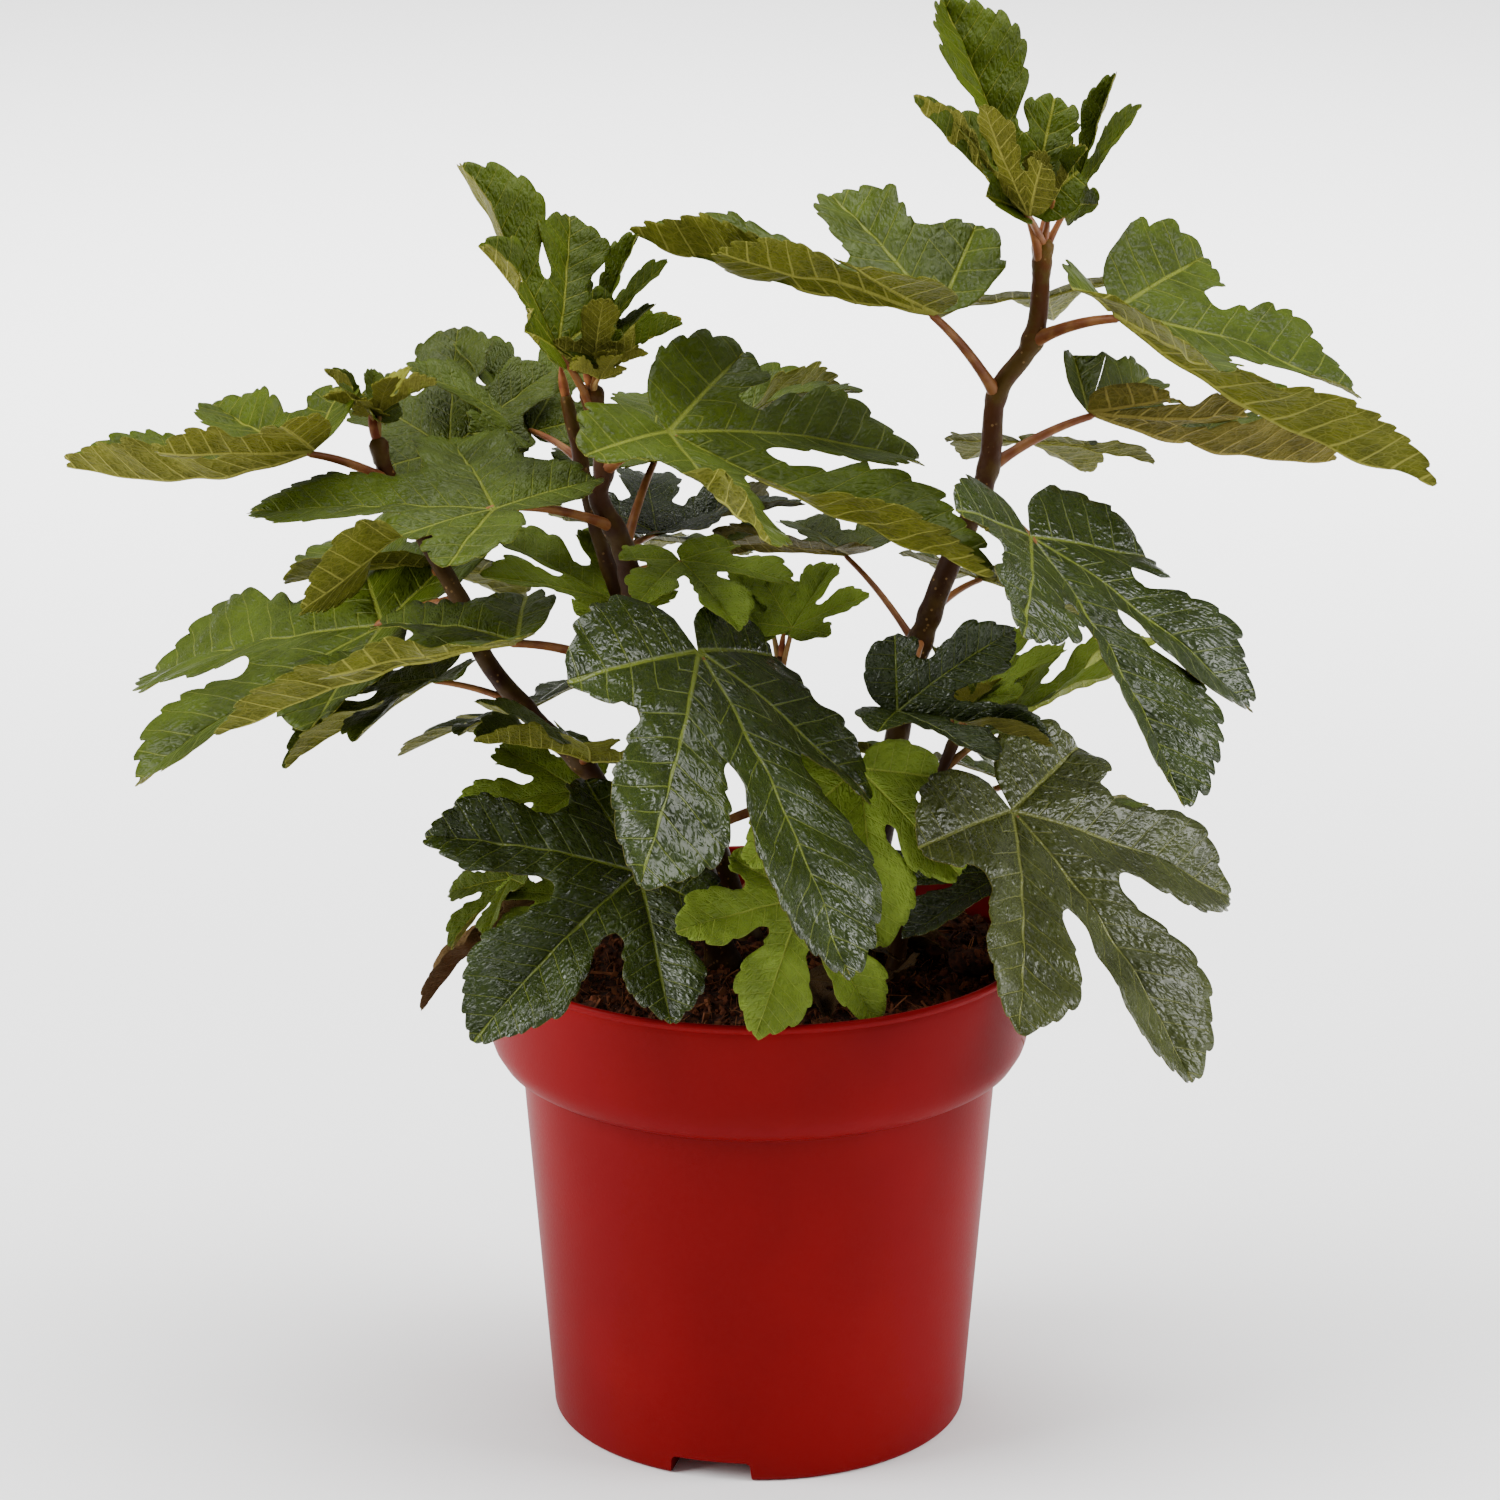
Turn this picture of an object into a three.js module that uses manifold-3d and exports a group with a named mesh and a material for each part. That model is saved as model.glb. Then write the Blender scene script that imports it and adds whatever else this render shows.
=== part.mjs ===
// A young fig tree in a round nursery pot: six woody stems rise from one crown of roots,
// and every stem carries lobed leaves on long stalks.
// Millimetres, +Z up, +X right, -Y towards the front. The origin is the middle of the pot's underside.
import * as THREE from 'three';
import { mergeVertices } from 'three/addons/utils/BufferGeometryUtils.js';
import Module from 'manifold-3d';

const wasm = await Module();
wasm.setup();

// ---- driving dimensions ----------------------------------------------------
const pot = {
  height: 190,
  rimRadius: 105,
  rimWidth: 2.4,
  wall: 1.8,
  collarFoot: 142,       // height where the wide collar ends
  collarRadius: 102.2,   // collar just above its rounded foot
  stepRadius: 94.5,      // underside of the collar, outer edge
  bodyRadius: 90,      // body just under the collar
  baseRadius: 79,
  edge: 1.6,             // rounded edge round the base
  floor: 12,
  sides: 32,
};
const notch = { count: 3, width: 32, height: 7.5, depth: 18, firstTurn: -103.5 };
const soilTop = 176;
const gap = 0.35;          // clearance between neighbouring solids
const buried = 8;          // how far a stem's way starts below its flat cut
const stemSides = 8;
const stalkSides = 5;
const stalkSteps = 3;
const bladeShare = 1 / 90; // blade thickness as a share of its length
const thinnestBlade = 0.9;

// ---- the fig leaf ----------------------------------------------------------
// Five lobes round the stalk's end. Reach and belly are shares of the midrib's length.
const lobes = [
  { turn: 0, reach: 1.0, belly: 0.225 },
  { turn: 47, reach: 0.86, belly: 0.185 },
  { turn: -47, reach: 0.86, belly: 0.185 },
  { turn: 97, reach: 0.48, belly: 0.135 },
  { turn: -97, reach: 0.48, belly: 0.135 },
];
const halfTurn = 23.5;   // half the angle between the middle lobes
const lowHalfTurn = 25;  // half the angle between a side lobe and a basal one
const shoulder = 1.35;   // how far the heart-shaped base bulges past a basal lobe's belly
const baseStart = 0.45;  // first point of that bulge, as a share of the palm
const pleat = 12;        // rise of the blade between two ribs, degrees
const widest = 0.56;     // where a lobe is widest, as a share of its free length
const waistPlace = 0.13; // where it is narrowest
const longStations = [0.14, 0.5, 0.85, 1];
const shortStations = [0.5, 1];
const smallLeaf = 88;    // leaves shorter than this have fewer stations

// palm is where the lobes part, along each lobe's own rib; waist how much a lobe narrows past it.
const restShape = {
  roll: 0, foldL: 10, foldR: 10, archL: 20, archR: 20, cup: 20, cupL: 20, cupR: 20,
  turnL: 0, turnR: 0, sagL: 0, sagR: 0, droop: 15, twist: 0, spreadL: 1, spreadR: 1, sideL: 1, sideR: 1,
  bow: 0.1, slim: 1, palm: 0.33, waist: 0.2,
};

const rad = THREE.MathUtils.degToRad;

function smooth(a) {
  const q = Math.min(Math.max(a, 0), 1);
  return q * q * (3 - 2 * q);
}

// Half the width of a lobe at distance s along its rib. beta is half the angle to the next lobe;
// the outer side of a basal lobe has none.
function halfWidth(lobe, s, beta) {
  if (beta === null) {
    const u = Math.min(s / lobe.reach, 1);
    return 2.2 * shoulder * lobe.belly * u ** 0.5 * (1 - u) ** 0.65;
  }
  const open = Math.tan(rad(beta));
  if (s <= lobe.palm) return s * open;
  const start = lobe.palm * open;
  const q = (s - lobe.palm) / (lobe.reach - lobe.palm);
  if (q < widest) {
    const near = q / waistPlace;
    const pinch = lobe.waist * start * near * Math.exp(1 - near);
    return start + (lobe.belly - start) * smooth(q / widest) - pinch;
  }
  const p = Math.min((q - widest) / (1 - widest), 1);
  return lobe.belly * (1 - p ** 1.8) ** 0.88;
}

// Lobe k of one leaf: its half angles on the left and the right, its turn, reach, belly, palm and waist.
function lobeOf(leaf, k) {
  const spread = k === 0 ? 1 : (k % 2 === 1 ? leaf.spreadL : leaf.spreadR);
  const side = k === 0 ? 1 : (k % 2 === 1 ? leaf.sideL : leaf.sideR);
  const inner = halfTurn * spread;
  const low = lowHalfTurn * spread;
  const edges = [
    [halfTurn * leaf.spreadL, halfTurn * leaf.spreadR], [low, inner], [inner, low], [null, low], [low, null]];
  return {
    betaL: edges[k][0],
    betaR: edges[k][1],
    turn: lobes[k].turn * spread,
    reach: lobes[k].reach * side,
    belly: lobes[k].belly * side * leaf.slim,
    palm: leaf.palm,
    waist: leaf.waist,
  };
}

// A point of the blade in the leaf's own frame, in millimetres: x along the midrib, y left, z up.
// s runs along the rib of lobe k and t across it, both as shares of the midrib.
function bladePoint(leaf, k, s, t) {
  const lobe = lobeOf(leaf, k);
  const cup = k === 0 ? leaf.cup : (k % 2 === 1 ? leaf.cupL : leaf.cupR);
  const free = smooth((s - lobe.palm) / (0.4 * (lobe.reach - lobe.palm)));
  // a side lobe may hang from where it comes free, and turn about its own rib, outer margin up
  const lean = [0, leaf.turnL, leaf.turnR, 0, 0][k];
  const sag = rad([0, leaf.sagL, leaf.sagR, 0, 0][k]);
  const outside = t * (k === 1 ? 1 : -1) >= 0 ? lean : -lean;
  const hung = Math.max(s - lobe.palm, 0) * free;
  const slope = rad(pleat + (cup - pleat + outside) * free);
  const across = t * (1 + (Math.cos(slope) - 1) * free);
  const raised = Math.abs(t) * (Math.tan(rad(pleat)) * (1 - free) + Math.sin(slope) * free);
  const rise = raised - Math.sin(sag) * hung;
  const out = s - (1 - Math.cos(sag)) * hung;
  const turn = rad(lobe.turn);
  const x = out * Math.cos(turn) - across * Math.sin(turn);
  const y = out * Math.sin(turn) + across * Math.cos(turn);
  // each half folds up about the midrib and arches back down towards its margin
  const side = y >= 0 ? 1 : -1;
  const fold = rad(y >= 0 ? leaf.foldL : leaf.foldR);
  const arch = -rad(y >= 0 ? leaf.archL : leaf.archR);
  const tilt = fold + arch * Math.abs(y);
  const wide = side * ((Math.sin(tilt) - Math.sin(fold)) / arch - Math.sin(tilt) * rise);
  const high = (Math.cos(fold) - Math.cos(tilt)) / arch + Math.cos(tilt) * rise;
  // the blade twists and droops along the midrib
  const twist = rad(leaf.twist) * x;
  const y2 = wide * Math.cos(twist) - high * Math.sin(twist);
  const z2 = wide * Math.sin(twist) + high * Math.cos(twist);
  const droop = Math.max(Math.abs(rad(leaf.droop)), 1e-3) * (leaf.droop < 0 ? -1 : 1);
  const bend = droop * x;
  return new THREE.Vector3(
    Math.sin(bend) / droop + z2 * Math.sin(bend),
    y2,
    z2 * Math.cos(bend) - (1 - Math.cos(bend)) / droop,
  ).multiplyScalar(leaf.size);
}

// The leaf's axes in the plant: the midrib's direction, its left and its upper side.
function leafAxes(leaf) {
  const aim = rad(leaf.aim);
  const dip = rad(leaf.dip);
  const along = new THREE.Vector3(
    Math.cos(dip) * Math.cos(aim), Math.cos(dip) * Math.sin(aim), -Math.sin(dip));
  const over = new THREE.Vector3(
    Math.sin(dip) * Math.cos(aim), Math.sin(dip) * Math.sin(aim), Math.cos(dip));
  const left = new THREE.Vector3().crossVectors(over, along);
  const roll = rad(leaf.roll);
  const rolledLeft = left.clone().multiplyScalar(Math.cos(roll)).addScaledVector(over, Math.sin(roll));
  const rolledOver = over.clone().multiplyScalar(Math.cos(roll)).addScaledVector(left, -Math.sin(roll));
  return [along, rolledLeft, rolledOver];
}

// The blade as one thin surface: points and triangles, upper side out.
function bladeSurface(leaf) {
  const [along, left, over] = leafAxes(leaf);
  const knot = new THREE.Vector3(...leaf.knot);
  const points = [];
  const triangles = [];
  const seen = new Map();
  const add = (k, s, t) => {
    const p = bladePoint(leaf, k, s, t);
    const key = [p.x, p.y, p.z].map((v) => Math.round(v * 500)).join(' ');
    if (!seen.has(key)) {
      seen.set(key, points.length);
      points.push(knot.clone().addScaledVector(along, p.x).addScaledVector(left, p.y)
        .addScaledVector(over, p.z));
    }
    return seen.get(key);
  };
  const tri = (a, b, c) => {
    if (a !== b && b !== c && c !== a) triangles.push([a, b, c]);
  };
  for (let k = 0; k < lobes.length; k += 1) {
    const lobe = lobeOf(leaf, k);
    const { palm } = leaf;
    const free = k > 2 || leaf.size < smallLeaf ? shortStations : longStations;
    const stations = [0, palm, ...free.map((q) => palm + q * (lobe.reach - palm))];
    const margin = (s, beta, sign) => {
      const at = s === 0 && beta === null ? baseStart * palm : s;
      return add(k, at, sign * halfWidth(lobe, at, beta));
    };
    const rows = stations.map((s) => [margin(s, lobe.betaR, -1), add(k, s, 0), margin(s, lobe.betaL, 1)]);
    for (let i = 1; i < rows.length; i += 1) {
      const [a, b] = [rows[i - 1], rows[i]];
      for (let j = 0; j < 2; j += 1) {
        tri(a[j], b[j], b[j + 1]);
        tri(a[j], b[j + 1], a[j + 1]);
      }
    }
  }
  return { points, triangles };
}

// ---- solids ----------------------------------------------------------------
function toManifold(positions, triangles) {
  return new wasm.Manifold(new wasm.Mesh({
    numProp: 3,
    vertProperties: new Float32Array(positions),
    triVerts: new Uint32Array(triangles.flat()),
  }));
}

// A surface of points and triangles made into a plate of even thickness.
function thicken(surface, thickness) {
  const { points, triangles } = surface;
  const normals = points.map(() => new THREE.Vector3());
  const edges = new Map();
  for (const [a, b, c] of triangles) {
    const n = new THREE.Vector3().crossVectors(
      points[b].clone().sub(points[a]), points[c].clone().sub(points[a])).normalize();
    for (const [i, j] of [[a, b], [b, c], [c, a]]) {
      normals[i].add(n);
      if (!edges.delete(`${j} ${i}`)) edges.set(`${i} ${j}`, [i, j]);
    }
  }
  const count = points.length;
  const positions = [];
  for (const sign of [0.5, -0.5]) {
    points.forEach((p, i) => {
      const q = p.clone().addScaledVector(normals[i].normalize(), sign * thickness);
      positions.push(q.x, q.y, q.z);
    });
  }
  const faces = [];
  for (const [a, b, c] of triangles) {
    faces.push([a, b, c], [a + count, c + count, b + count]);
  }
  for (const [i, j] of edges.values()) {
    faces.push([i, i + count, j], [j, i + count, j + count]);
  }
  return toManifold(positions, faces);
}

// A closed tube along part of a curve, with a radius for each share of its way.
function taperedTube(curve, from, to, steps, sides, radiusAt) {
  const chord = curve.getPointAt(to).sub(curve.getPointAt(from)).normalize();
  const [ax, ay, az] = chord.toArray().map(Math.abs);
  const aside = new THREE.Vector3(
    ax <= ay && ax <= az ? 1 : 0, ay < ax && ay <= az ? 1 : 0, az < ax && az < ay ? 1 : 0);
  const positions = [];
  const faces = [];
  for (let i = 0; i <= steps; i += 1) {
    const share = from + ((to - from) * i) / steps;
    const centre = curve.getPointAt(share);
    const tangent = curve.getTangentAt(share);
    const across = aside.clone().addScaledVector(tangent, -aside.dot(tangent)).normalize();
    const over = new THREE.Vector3().crossVectors(tangent, across);
    const radius = radiusAt(share);
    for (let j = 0; j < sides; j += 1) {
      const a = (2 * Math.PI * j) / sides;
      const p = centre.clone()
        .addScaledVector(across, radius * Math.cos(a))
        .addScaledVector(over, radius * Math.sin(a));
      positions.push(p.x, p.y, p.z);
    }
  }
  for (let i = 0; i < steps; i += 1) {
    for (let j = 0; j < sides; j += 1) {
      const a = i * sides + j;
      const b = i * sides + ((j + 1) % sides);
      faces.push([a, b, b + sides], [a, b + sides, a + sides]);
    }
  }
  for (let j = 1; j < sides - 1; j += 1) {
    const last = steps * sides;
    faces.push([0, j + 1, j], [last, last + j, last + j + 1]);
  }
  return toManifold(positions, faces);
}

// A profile of [radius, height] pairs turned about the pot's axis.
function turned(profile, sides) {
  const lathe = new THREE.LatheGeometry(profile.map(([r, z]) => new THREE.Vector2(r, z)), sides);
  lathe.rotateX(Math.PI / 2);
  return fromGeometry(lathe);
}

function fromGeometry(geometry) {
  geometry.deleteAttribute('normal');
  geometry.deleteAttribute('uv');
  const merged = mergeVertices(geometry, 1e-4);
  const index = merged.index.array;
  const faces = [];
  for (let i = 0; i < index.length; i += 3) {
    const [a, b, c] = [index[i], index[i + 1], index[i + 2]];
    if (a !== b && b !== c && c !== a) faces.push([a, b, c]);
  }
  const solid = toManifold(merged.attributes.position.array, faces);
  return solid.volume() > 0 ? solid : toManifold(
    merged.attributes.position.array, faces.map(([a, b, c]) => [a, c, b]));
}

function toMesh(name, solid, look) {
  const { vertProperties, triVerts, numProp } = solid.getMesh();
  const positions = new Float32Array((vertProperties.length / numProp) * 3);
  for (let i = 0; i < positions.length / 3; i += 1) {
    positions.set(vertProperties.subarray(i * numProp, i * numProp + 3), i * 3);
  }
  const geometry = new THREE.BufferGeometry();
  geometry.setAttribute('position', new THREE.BufferAttribute(positions, 3));
  geometry.setIndex(new THREE.BufferAttribute(new Uint32Array(triVerts), 1));
  geometry.computeVertexNormals();
  const mesh = new THREE.Mesh(geometry, look);
  mesh.name = name;
  return mesh;
}

// The largest piece of a fused solid; sealed hollows and loose scraps are left out.
function mainPiece(solid) {
  return solid.decompose().reduce((a, b) => (b.volume() > a.volume() ? b : a));
}

// ---- stems -----------------------------------------------------------------
// Each stem: the points it passes, foot first, and its radius at the foot and at the tip.
const stems = {
  right: {
    foot: 5.4, tip: 3.3,
    way: [[36, 2, soilTop - buried], [54, 15, 274], [65, 20, 312], [84, 25, 359], [88, 25, 391],
      [101, 22, 414], [104, 20, 452]],
  },
  middle: {
    foot: 5.6, tip: 3.4,
    way: [[-12, 6, soilTop - buried], [-29, 5, 244], [-43, 0, 285], [-49, 0, 335], [-59, 0, 358],
      [-57, 0, 371], [-62, 0, 402]],
  },
  back: {
    foot: 4.4, tip: 2.4,
    way: [[-2, 34, soilTop - buried], [-20, 32, 225], [-38, 30, 272], [-59, 25, 334], [-68, 25, 374],
      [-72, 26, 392]],
  },
  left: {
    foot: 4.8, tip: 2.8,
    way: [[-30, -6, soilTop - buried], [-59, -5, 247], [-80, -5, 271], [-100, -5, 296], [-113, -5, 326],
      [-135, -5, 366], [-140, -5, 383]],
  },
  short: {
    foot: 3.6, tip: 1.9,
    way: [[50, -8, soilTop - buried], [55, -10, 206], [64, -10, 245], [73, -10, 270]],
  },
  centre: {
    foot: 3.2, tip: 1.6,
    way: [[8, -24, soilTop - buried], [6, -22, 215], [5, -18, 256], [8, -11, 302]],
  },
};
const flareHeight = 12;
const flare = 1.35;
const tipRound = 0.55;

for (const stem of Object.values(stems)) {
  const points = stem.way.map((p) => new THREE.Vector3(...p));
  stem.curve = new THREE.CatmullRomCurve3(points, false, 'catmullrom', 0.5);
  stem.length = stem.curve.getLength();
}

// The share of a stem's length at which it reaches a height.
function shareAt(stem, height) {
  let [low, high] = [0, 1];
  for (let i = 0; i < 40; i += 1) {
    const middle = (low + high) / 2;
    if (stem.curve.getPointAt(middle).z < height) low = middle;
    else high = middle;
  }
  return (low + high) / 2;
}

function stemRadius(stem, share) {
  const up = Math.max(share * stem.length - buried, 0);
  const spread = up < flareHeight ? (flare - 1) * (1 - up / flareHeight) ** 2 : 0;
  return (stem.foot + (stem.tip - stem.foot) * share) * (1 + spread);
}

// A stretch of a stem between two shares of its length.
function stemStretch(stem, from, to, spacing) {
  const steps = Math.max(3, Math.round(((to - from) * stem.length) / spacing));
  return taperedTube(stem.curve, from, to, steps, stemSides, (share) => (
    share === 1 ? stem.tip * tipRound : stemRadius(stem, share)));
}

// A leaf stalk from the middle of its stem to the blade, a little inside both.
function stalk(leaf, start) {
  const [along] = leafAxes(leaf);
  const end = new THREE.Vector3(...leaf.knot).addScaledVector(along, 0.015 * leaf.size);
  const middle = start.clone().lerp(end, 0.5);
  middle.z += leaf.bow * start.distanceTo(end);
  const curve = new THREE.QuadraticBezierCurve3(start, middle, end);
  const thick = 0.8 + 0.0125 * leaf.size;
  return taperedTube(curve, 0, 1, stalkSteps, stalkSides, (share) => thick * (1 - 0.35 * share));
}

function leafSolid(leaf, start) {
  const thickness = Math.max(leaf.size * bladeShare, thinnestBlade);
  return thicken(bladeSurface(leaf), thickness).add(stalk(leaf, start));
}

// ---- the leafy stretches -----------------------------------------------------
// node is the height at which the stalk leaves the stem, knot the place where stalk and blade meet,
// size the midrib's length. aim, dip and roll turn the blade; the rest bend it.
const masses = {
  leaves_right_low: {
    stem: 'right', from: 286, to: 338, back: 1, lean: -20,
    leaves: [
      { node: 296, knot: [34, 55, 322], size: 60, aim: 160, dip: 0, foldL: 25, cup: 40, droop: 10 },
      { node: 300, knot: [50, -42, 289], size: 58, aim: -8, dip: 4, roll: 40, foldL: 40, foldR: 45, cup: 35,
        droop: 25, bow: -0.05 },
    ],
  },
  leaves_right_middle: {
    stem: 'right', from: 338, to: 378, back: 1, lean: -10,
    leaves: [
      { node: 363, knot: [123, 45, 380], size: 108, aim: 16, dip: 24, roll: -22, foldL: 55, foldR: 16,
        cup: 10, twist: -14, droop: -20, spreadR: 0.55, sideL: 0.6, sideR: 0.65, slim: 0.9 },
      { node: 348, knot: [97, -45, 355], size: 118, aim: -50, dip: 33, roll: -15, foldL: 8, foldR: 12,
        cup: 15, droop: 20, spreadL: 0.8, sideR: 0.78, slim: 1.12 },
    ],
  },
  leaves_right_top: {
    stem: 'right', from: 378, to: 460, back: 1, lean: 0,
    leaves: [
      { node: 391, knot: [65, -5, 428], size: 116, aim: 166, dip: -3, roll: -28, foldL: 56, foldR: 12,
        cup: 10, cupL: 12, turnL: 10, sagL: 14, droop: -22, twist: 20, spreadL: 0.62, sideL: 0.95,
        sideR: 0.78 },
      { node: 412, knot: [128, 0, 428], size: 133, aim: -14, dip: 38, roll: 3, foldL: 25, foldR: 22,
        cup: 14, sagR: 10, twist: -30, droop: -25, spreadL: 0.8, spreadR: 1.15, sideR: 0.7, slim: 0.88 },
      { node: 440, knot: [97, 5, 463], size: 86, aim: 131, dip: -62, roll: -4, foldL: 22, foldR: 30, cup: 8,
        cupL: 30, cupR: 10, droop: 10, spreadL: 0.75, spreadR: 0.7, sideL: 0.6, sideR: 0.6, slim: 1.05 },
      { node: 444, knot: [114, 30, 461], size: 52, aim: 45, dip: -62, foldL: 45, foldR: 35, droop: 0,
        spreadL: 0.6, spreadR: 0.95, sideL: 0.7, sideR: 1.15, slim: 0.7 },
      { node: 448, knot: [97, -5, 464], size: 60, aim: 182, dip: -40, foldL: 50, foldR: 40, cup: 40,
        droop: -10, spreadL: 0.65, spreadR: 0.8, sideR: 0.7, slim: 0.65 },
    ],
  },
  leaves_middle_low: {
    stem: 'middle', from: 279, to: 321, back: 0, lean: 0,
    leaves: [
      { node: 288, knot: [-87, -60, 320], size: 112, aim: 184, dip: 7, foldL: 18, foldR: 12, cup: 20,
        turnL: 20, twist: 12, droop: 20, spreadL: 0.75, sideL: 0.8, sideR: 0.75, slim: 0.72 },
      { node: 300, knot: [-22, -65, 318], size: 132, aim: -50, dip: 40, roll: -5, foldL: -10, foldR: 5,
        archL: 35, cup: 15, droop: 20, spreadL: 0.95, spreadR: 0.9, sideL: 0.78, palm: 0.36, waist: 0.1 },
    ],
  },
  leaves_middle: {
    stem: 'middle', from: 321, to: 354, back: 0, lean: 0,
    leaves: [
      { node: 329, knot: [-29, -10, 337], size: 50, aim: -63, dip: 10 },
      { node: 338, knot: [-41, 44, 361], size: 96, aim: 40, dip: -15, foldL: 5, foldR: 25, cup: 40,
        droop: 20 },
      { node: 347, knot: [-95, -48, 366], size: 91, aim: 170, dip: -1, roll: -9, foldL: 2, foldR: 5,
        cup: 12, cupL: 15, turnL: 70, sagL: 17, droop: 10, spreadL: 0.85, spreadR: 1.38, sideL: 1.05,
        palm: 0.34, waist: 0.1 },
    ],
  },
  leaves_middle_top: {
    stem: 'middle', from: 354, to: 402, back: 0, lean: 0,
    leaves: [
      { node: 369, knot: [-33, -30, 390], size: 127, aim: -10, dip: 26, roll: 4, foldL: 24, foldR: 2,
        cup: 28, cupR: 22, turnR: 34, twist: -22, droop: -8, spreadL: 0.85, spreadR: 1.15, sideR: 0.85,
        slim: 0.9, palm: 0.27, waist: 0.25 },
      { node: 388, knot: [-73, -15, 417], size: 78, aim: 139, dip: -57, roll: 6, foldL: 25, foldR: 20,
        cupL: 45, droop: 10, spreadL: 0.8, spreadR: 0.75, sideL: 0.75, sideR: 0.85, slim: 1.15 },
      { node: 392, knot: [-62, 10, 413], size: 50, aim: 60, dip: -50, foldL: 45, foldR: 35, droop: 10,
        spreadL: 0.7, slim: 0.7 },
      { node: 396, knot: [-60, -10, 408], size: 40, aim: -20, dip: -35, foldL: 30, foldR: 60, cup: 50,
        droop: 10, slim: 0.9 },
    ],
  },
  leaves_back_low: {
    stem: 'back', from: 300, to: 345, back: 1, lean: 0,
    leaves: [
      { node: 312, knot: [-54, 30, 310], size: 62, aim: 148, dip: -22, foldL: 10, foldR: 10, cup: 15,
        droop: 10 },
      { node: 325, knot: [-39, 60, 329], size: 66, aim: 50, dip: -5, foldL: 20, foldR: 20, cup: 40 },
    ],
  },
  leaves_back_top: {
    stem: 'back', from: 345, to: 392, back: 0, lean: 0,
    leaves: [
      { node: 357, knot: [-116, 38, 367], size: 60, aim: 90, dip: -42, roll: -12, foldL: 0, foldR: 0,
        cup: 15, droop: 10, bow: -0.1, palm: 0.45, slim: 1.1 },
      { node: 366, knot: [-86, 45, 372], size: 60, aim: 120, dip: -30, foldL: 20, foldR: 20 },
    ],
  },
  leaves_left_low: {
    stem: 'left', from: 236, to: 292, back: 1, lean: 40,
    leaves: [
      { node: 245, knot: [-68, 20, 239], size: 52, aim: 180, dip: 5, roll: -20, droop: 20 },
      { node: 258, knot: [-62, -30, 266], size: 55, aim: -142, dip: -28, foldL: 20, foldR: 20, cup: 30,
        droop: 20 },
      { node: 280, knot: [-120, 0, 289], size: 65, aim: -165, dip: 20, roll: 2, foldL: 15, foldR: 5,
        cup: 30 },
    ],
  },
  leaves_left_middle: {
    stem: 'left', from: 292, to: 345, back: 1, lean: 32,
    leaves: [
      { node: 320, knot: [-140, 8, 307], size: 132, aim: 144, dip: 12, roll: -26, foldL: 5, foldR: 0,
        cup: 15, sideL: 0.95, palm: 0.38 },
    ],
  },
  leaves_left_top: {
    stem: 'left', from: 345, to: 383, back: 0, lean: 0,
    leaves: [
      { node: 365, knot: [-161, -25, 382], size: 95, aim: 170, dip: 24, foldL: 30, foldR: 20, cup: 25,
        cupL: 15, turnL: 10, sideL: 0.8, slim: 0.9, droop: -37 },
      { node: 376, knot: [-140, -5, 389], size: 26, aim: 160, dip: -40, foldL: 30, foldR: 30, cup: 40,
        droop: 0 },
    ],
  },
  leaves_short: {
    stem: 'short', from: 206, to: 270, back: 1, lean: -30,
    leaves: [
      { node: 228, knot: [93, -24, 222], size: 62, aim: 174, dip: 5, roll: -18 },
      { node: 236, knot: [93, -30, 247], size: 120, aim: -30, dip: 40, foldL: 12, foldR: 0, cup: 15,
        droop: 22, palm: 0.35 },
      { node: 256, knot: [91, -5, 272], size: 66, aim: 18, dip: -28, roll: -10, foldL: 15, foldR: 15,
        cup: 30, droop: 8 },
      { node: 262, knot: [82, -10, 285], size: 41, aim: 59, dip: -28, roll: -13, cup: 15, droop: 5 },
    ],
  },
  leaves_centre: {
    stem: 'centre', from: 206, to: 302, back: 1, lean: 8,
    leaves: [
      { node: 216, knot: [15, -60, 223], size: 63, aim: -104, dip: 27, roll: -30, foldL: 5, foldR: 5,
        cup: 10 },
      { node: 246, knot: [-44, -60, 233], size: 96, aim: -127, dip: 14, roll: -20, foldL: 0, foldR: 20,
        cup: 15, droop: 25, spreadR: 1.15, sideL: 0.85, sideR: 0.95 },
      { node: 258, knot: [36, -38, 266], size: 66, aim: -74, dip: 60, cup: 12, droop: 15, bow: 0.05,
        spreadL: 0.8, spreadR: 1.2, sideL: 0.95 },
      { node: 290, knot: [12, -12, 312], size: 36, aim: 60, dip: -30, cup: 25, droop: 5 },
      { node: 296, knot: [5, -6, 310], size: 34, aim: 120, dip: -30, cup: 25, droop: 5 },
    ],
  },
};

// More leaves behind each stretch, where back says how many: they point away within a fan,
// each a little different by the seeded rule, and slope so that they lie in one layer.
const backFan = 40;
const backStalk = [34, 50];
const backSize = [58, 78];

function seeded(seed) {
  let state = seed >>> 0;
  return (low, high) => {
    state = (Math.imul(state, 1664525) + 1013904223) >>> 0;
    return low + ((high - low) * state) / 4294967296;
  };
}

function backLeaves(mass, stem, seed) {
  const pick = seeded(seed);
  const leaves = [];
  for (let i = 0; i < mass.back; i += 1) {
    const node = mass.from + ((mass.to - mass.from) * (i + 0.6)) / (mass.back + 0.4);
    const aim = 90 + mass.lean + pick(-backFan, backFan);
    const reach = pick(...backStalk);
    const start = stem.curve.getPointAt(shareAt(stem, node));
    leaves.push({
      node,
      knot: [
        start.x + reach * Math.cos(rad(aim)),
        start.y + reach * Math.sin(rad(aim)),
        start.z + 0.15 * reach,
      ],
      size: pick(...backSize),
      aim: aim + pick(-12, 12),
      dip: pick(8, 20),
      roll: pick(-10, 10),
      foldL: pick(0, 15),
      foldR: pick(0, 15),
    });
  }
  return leaves;
}

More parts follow.
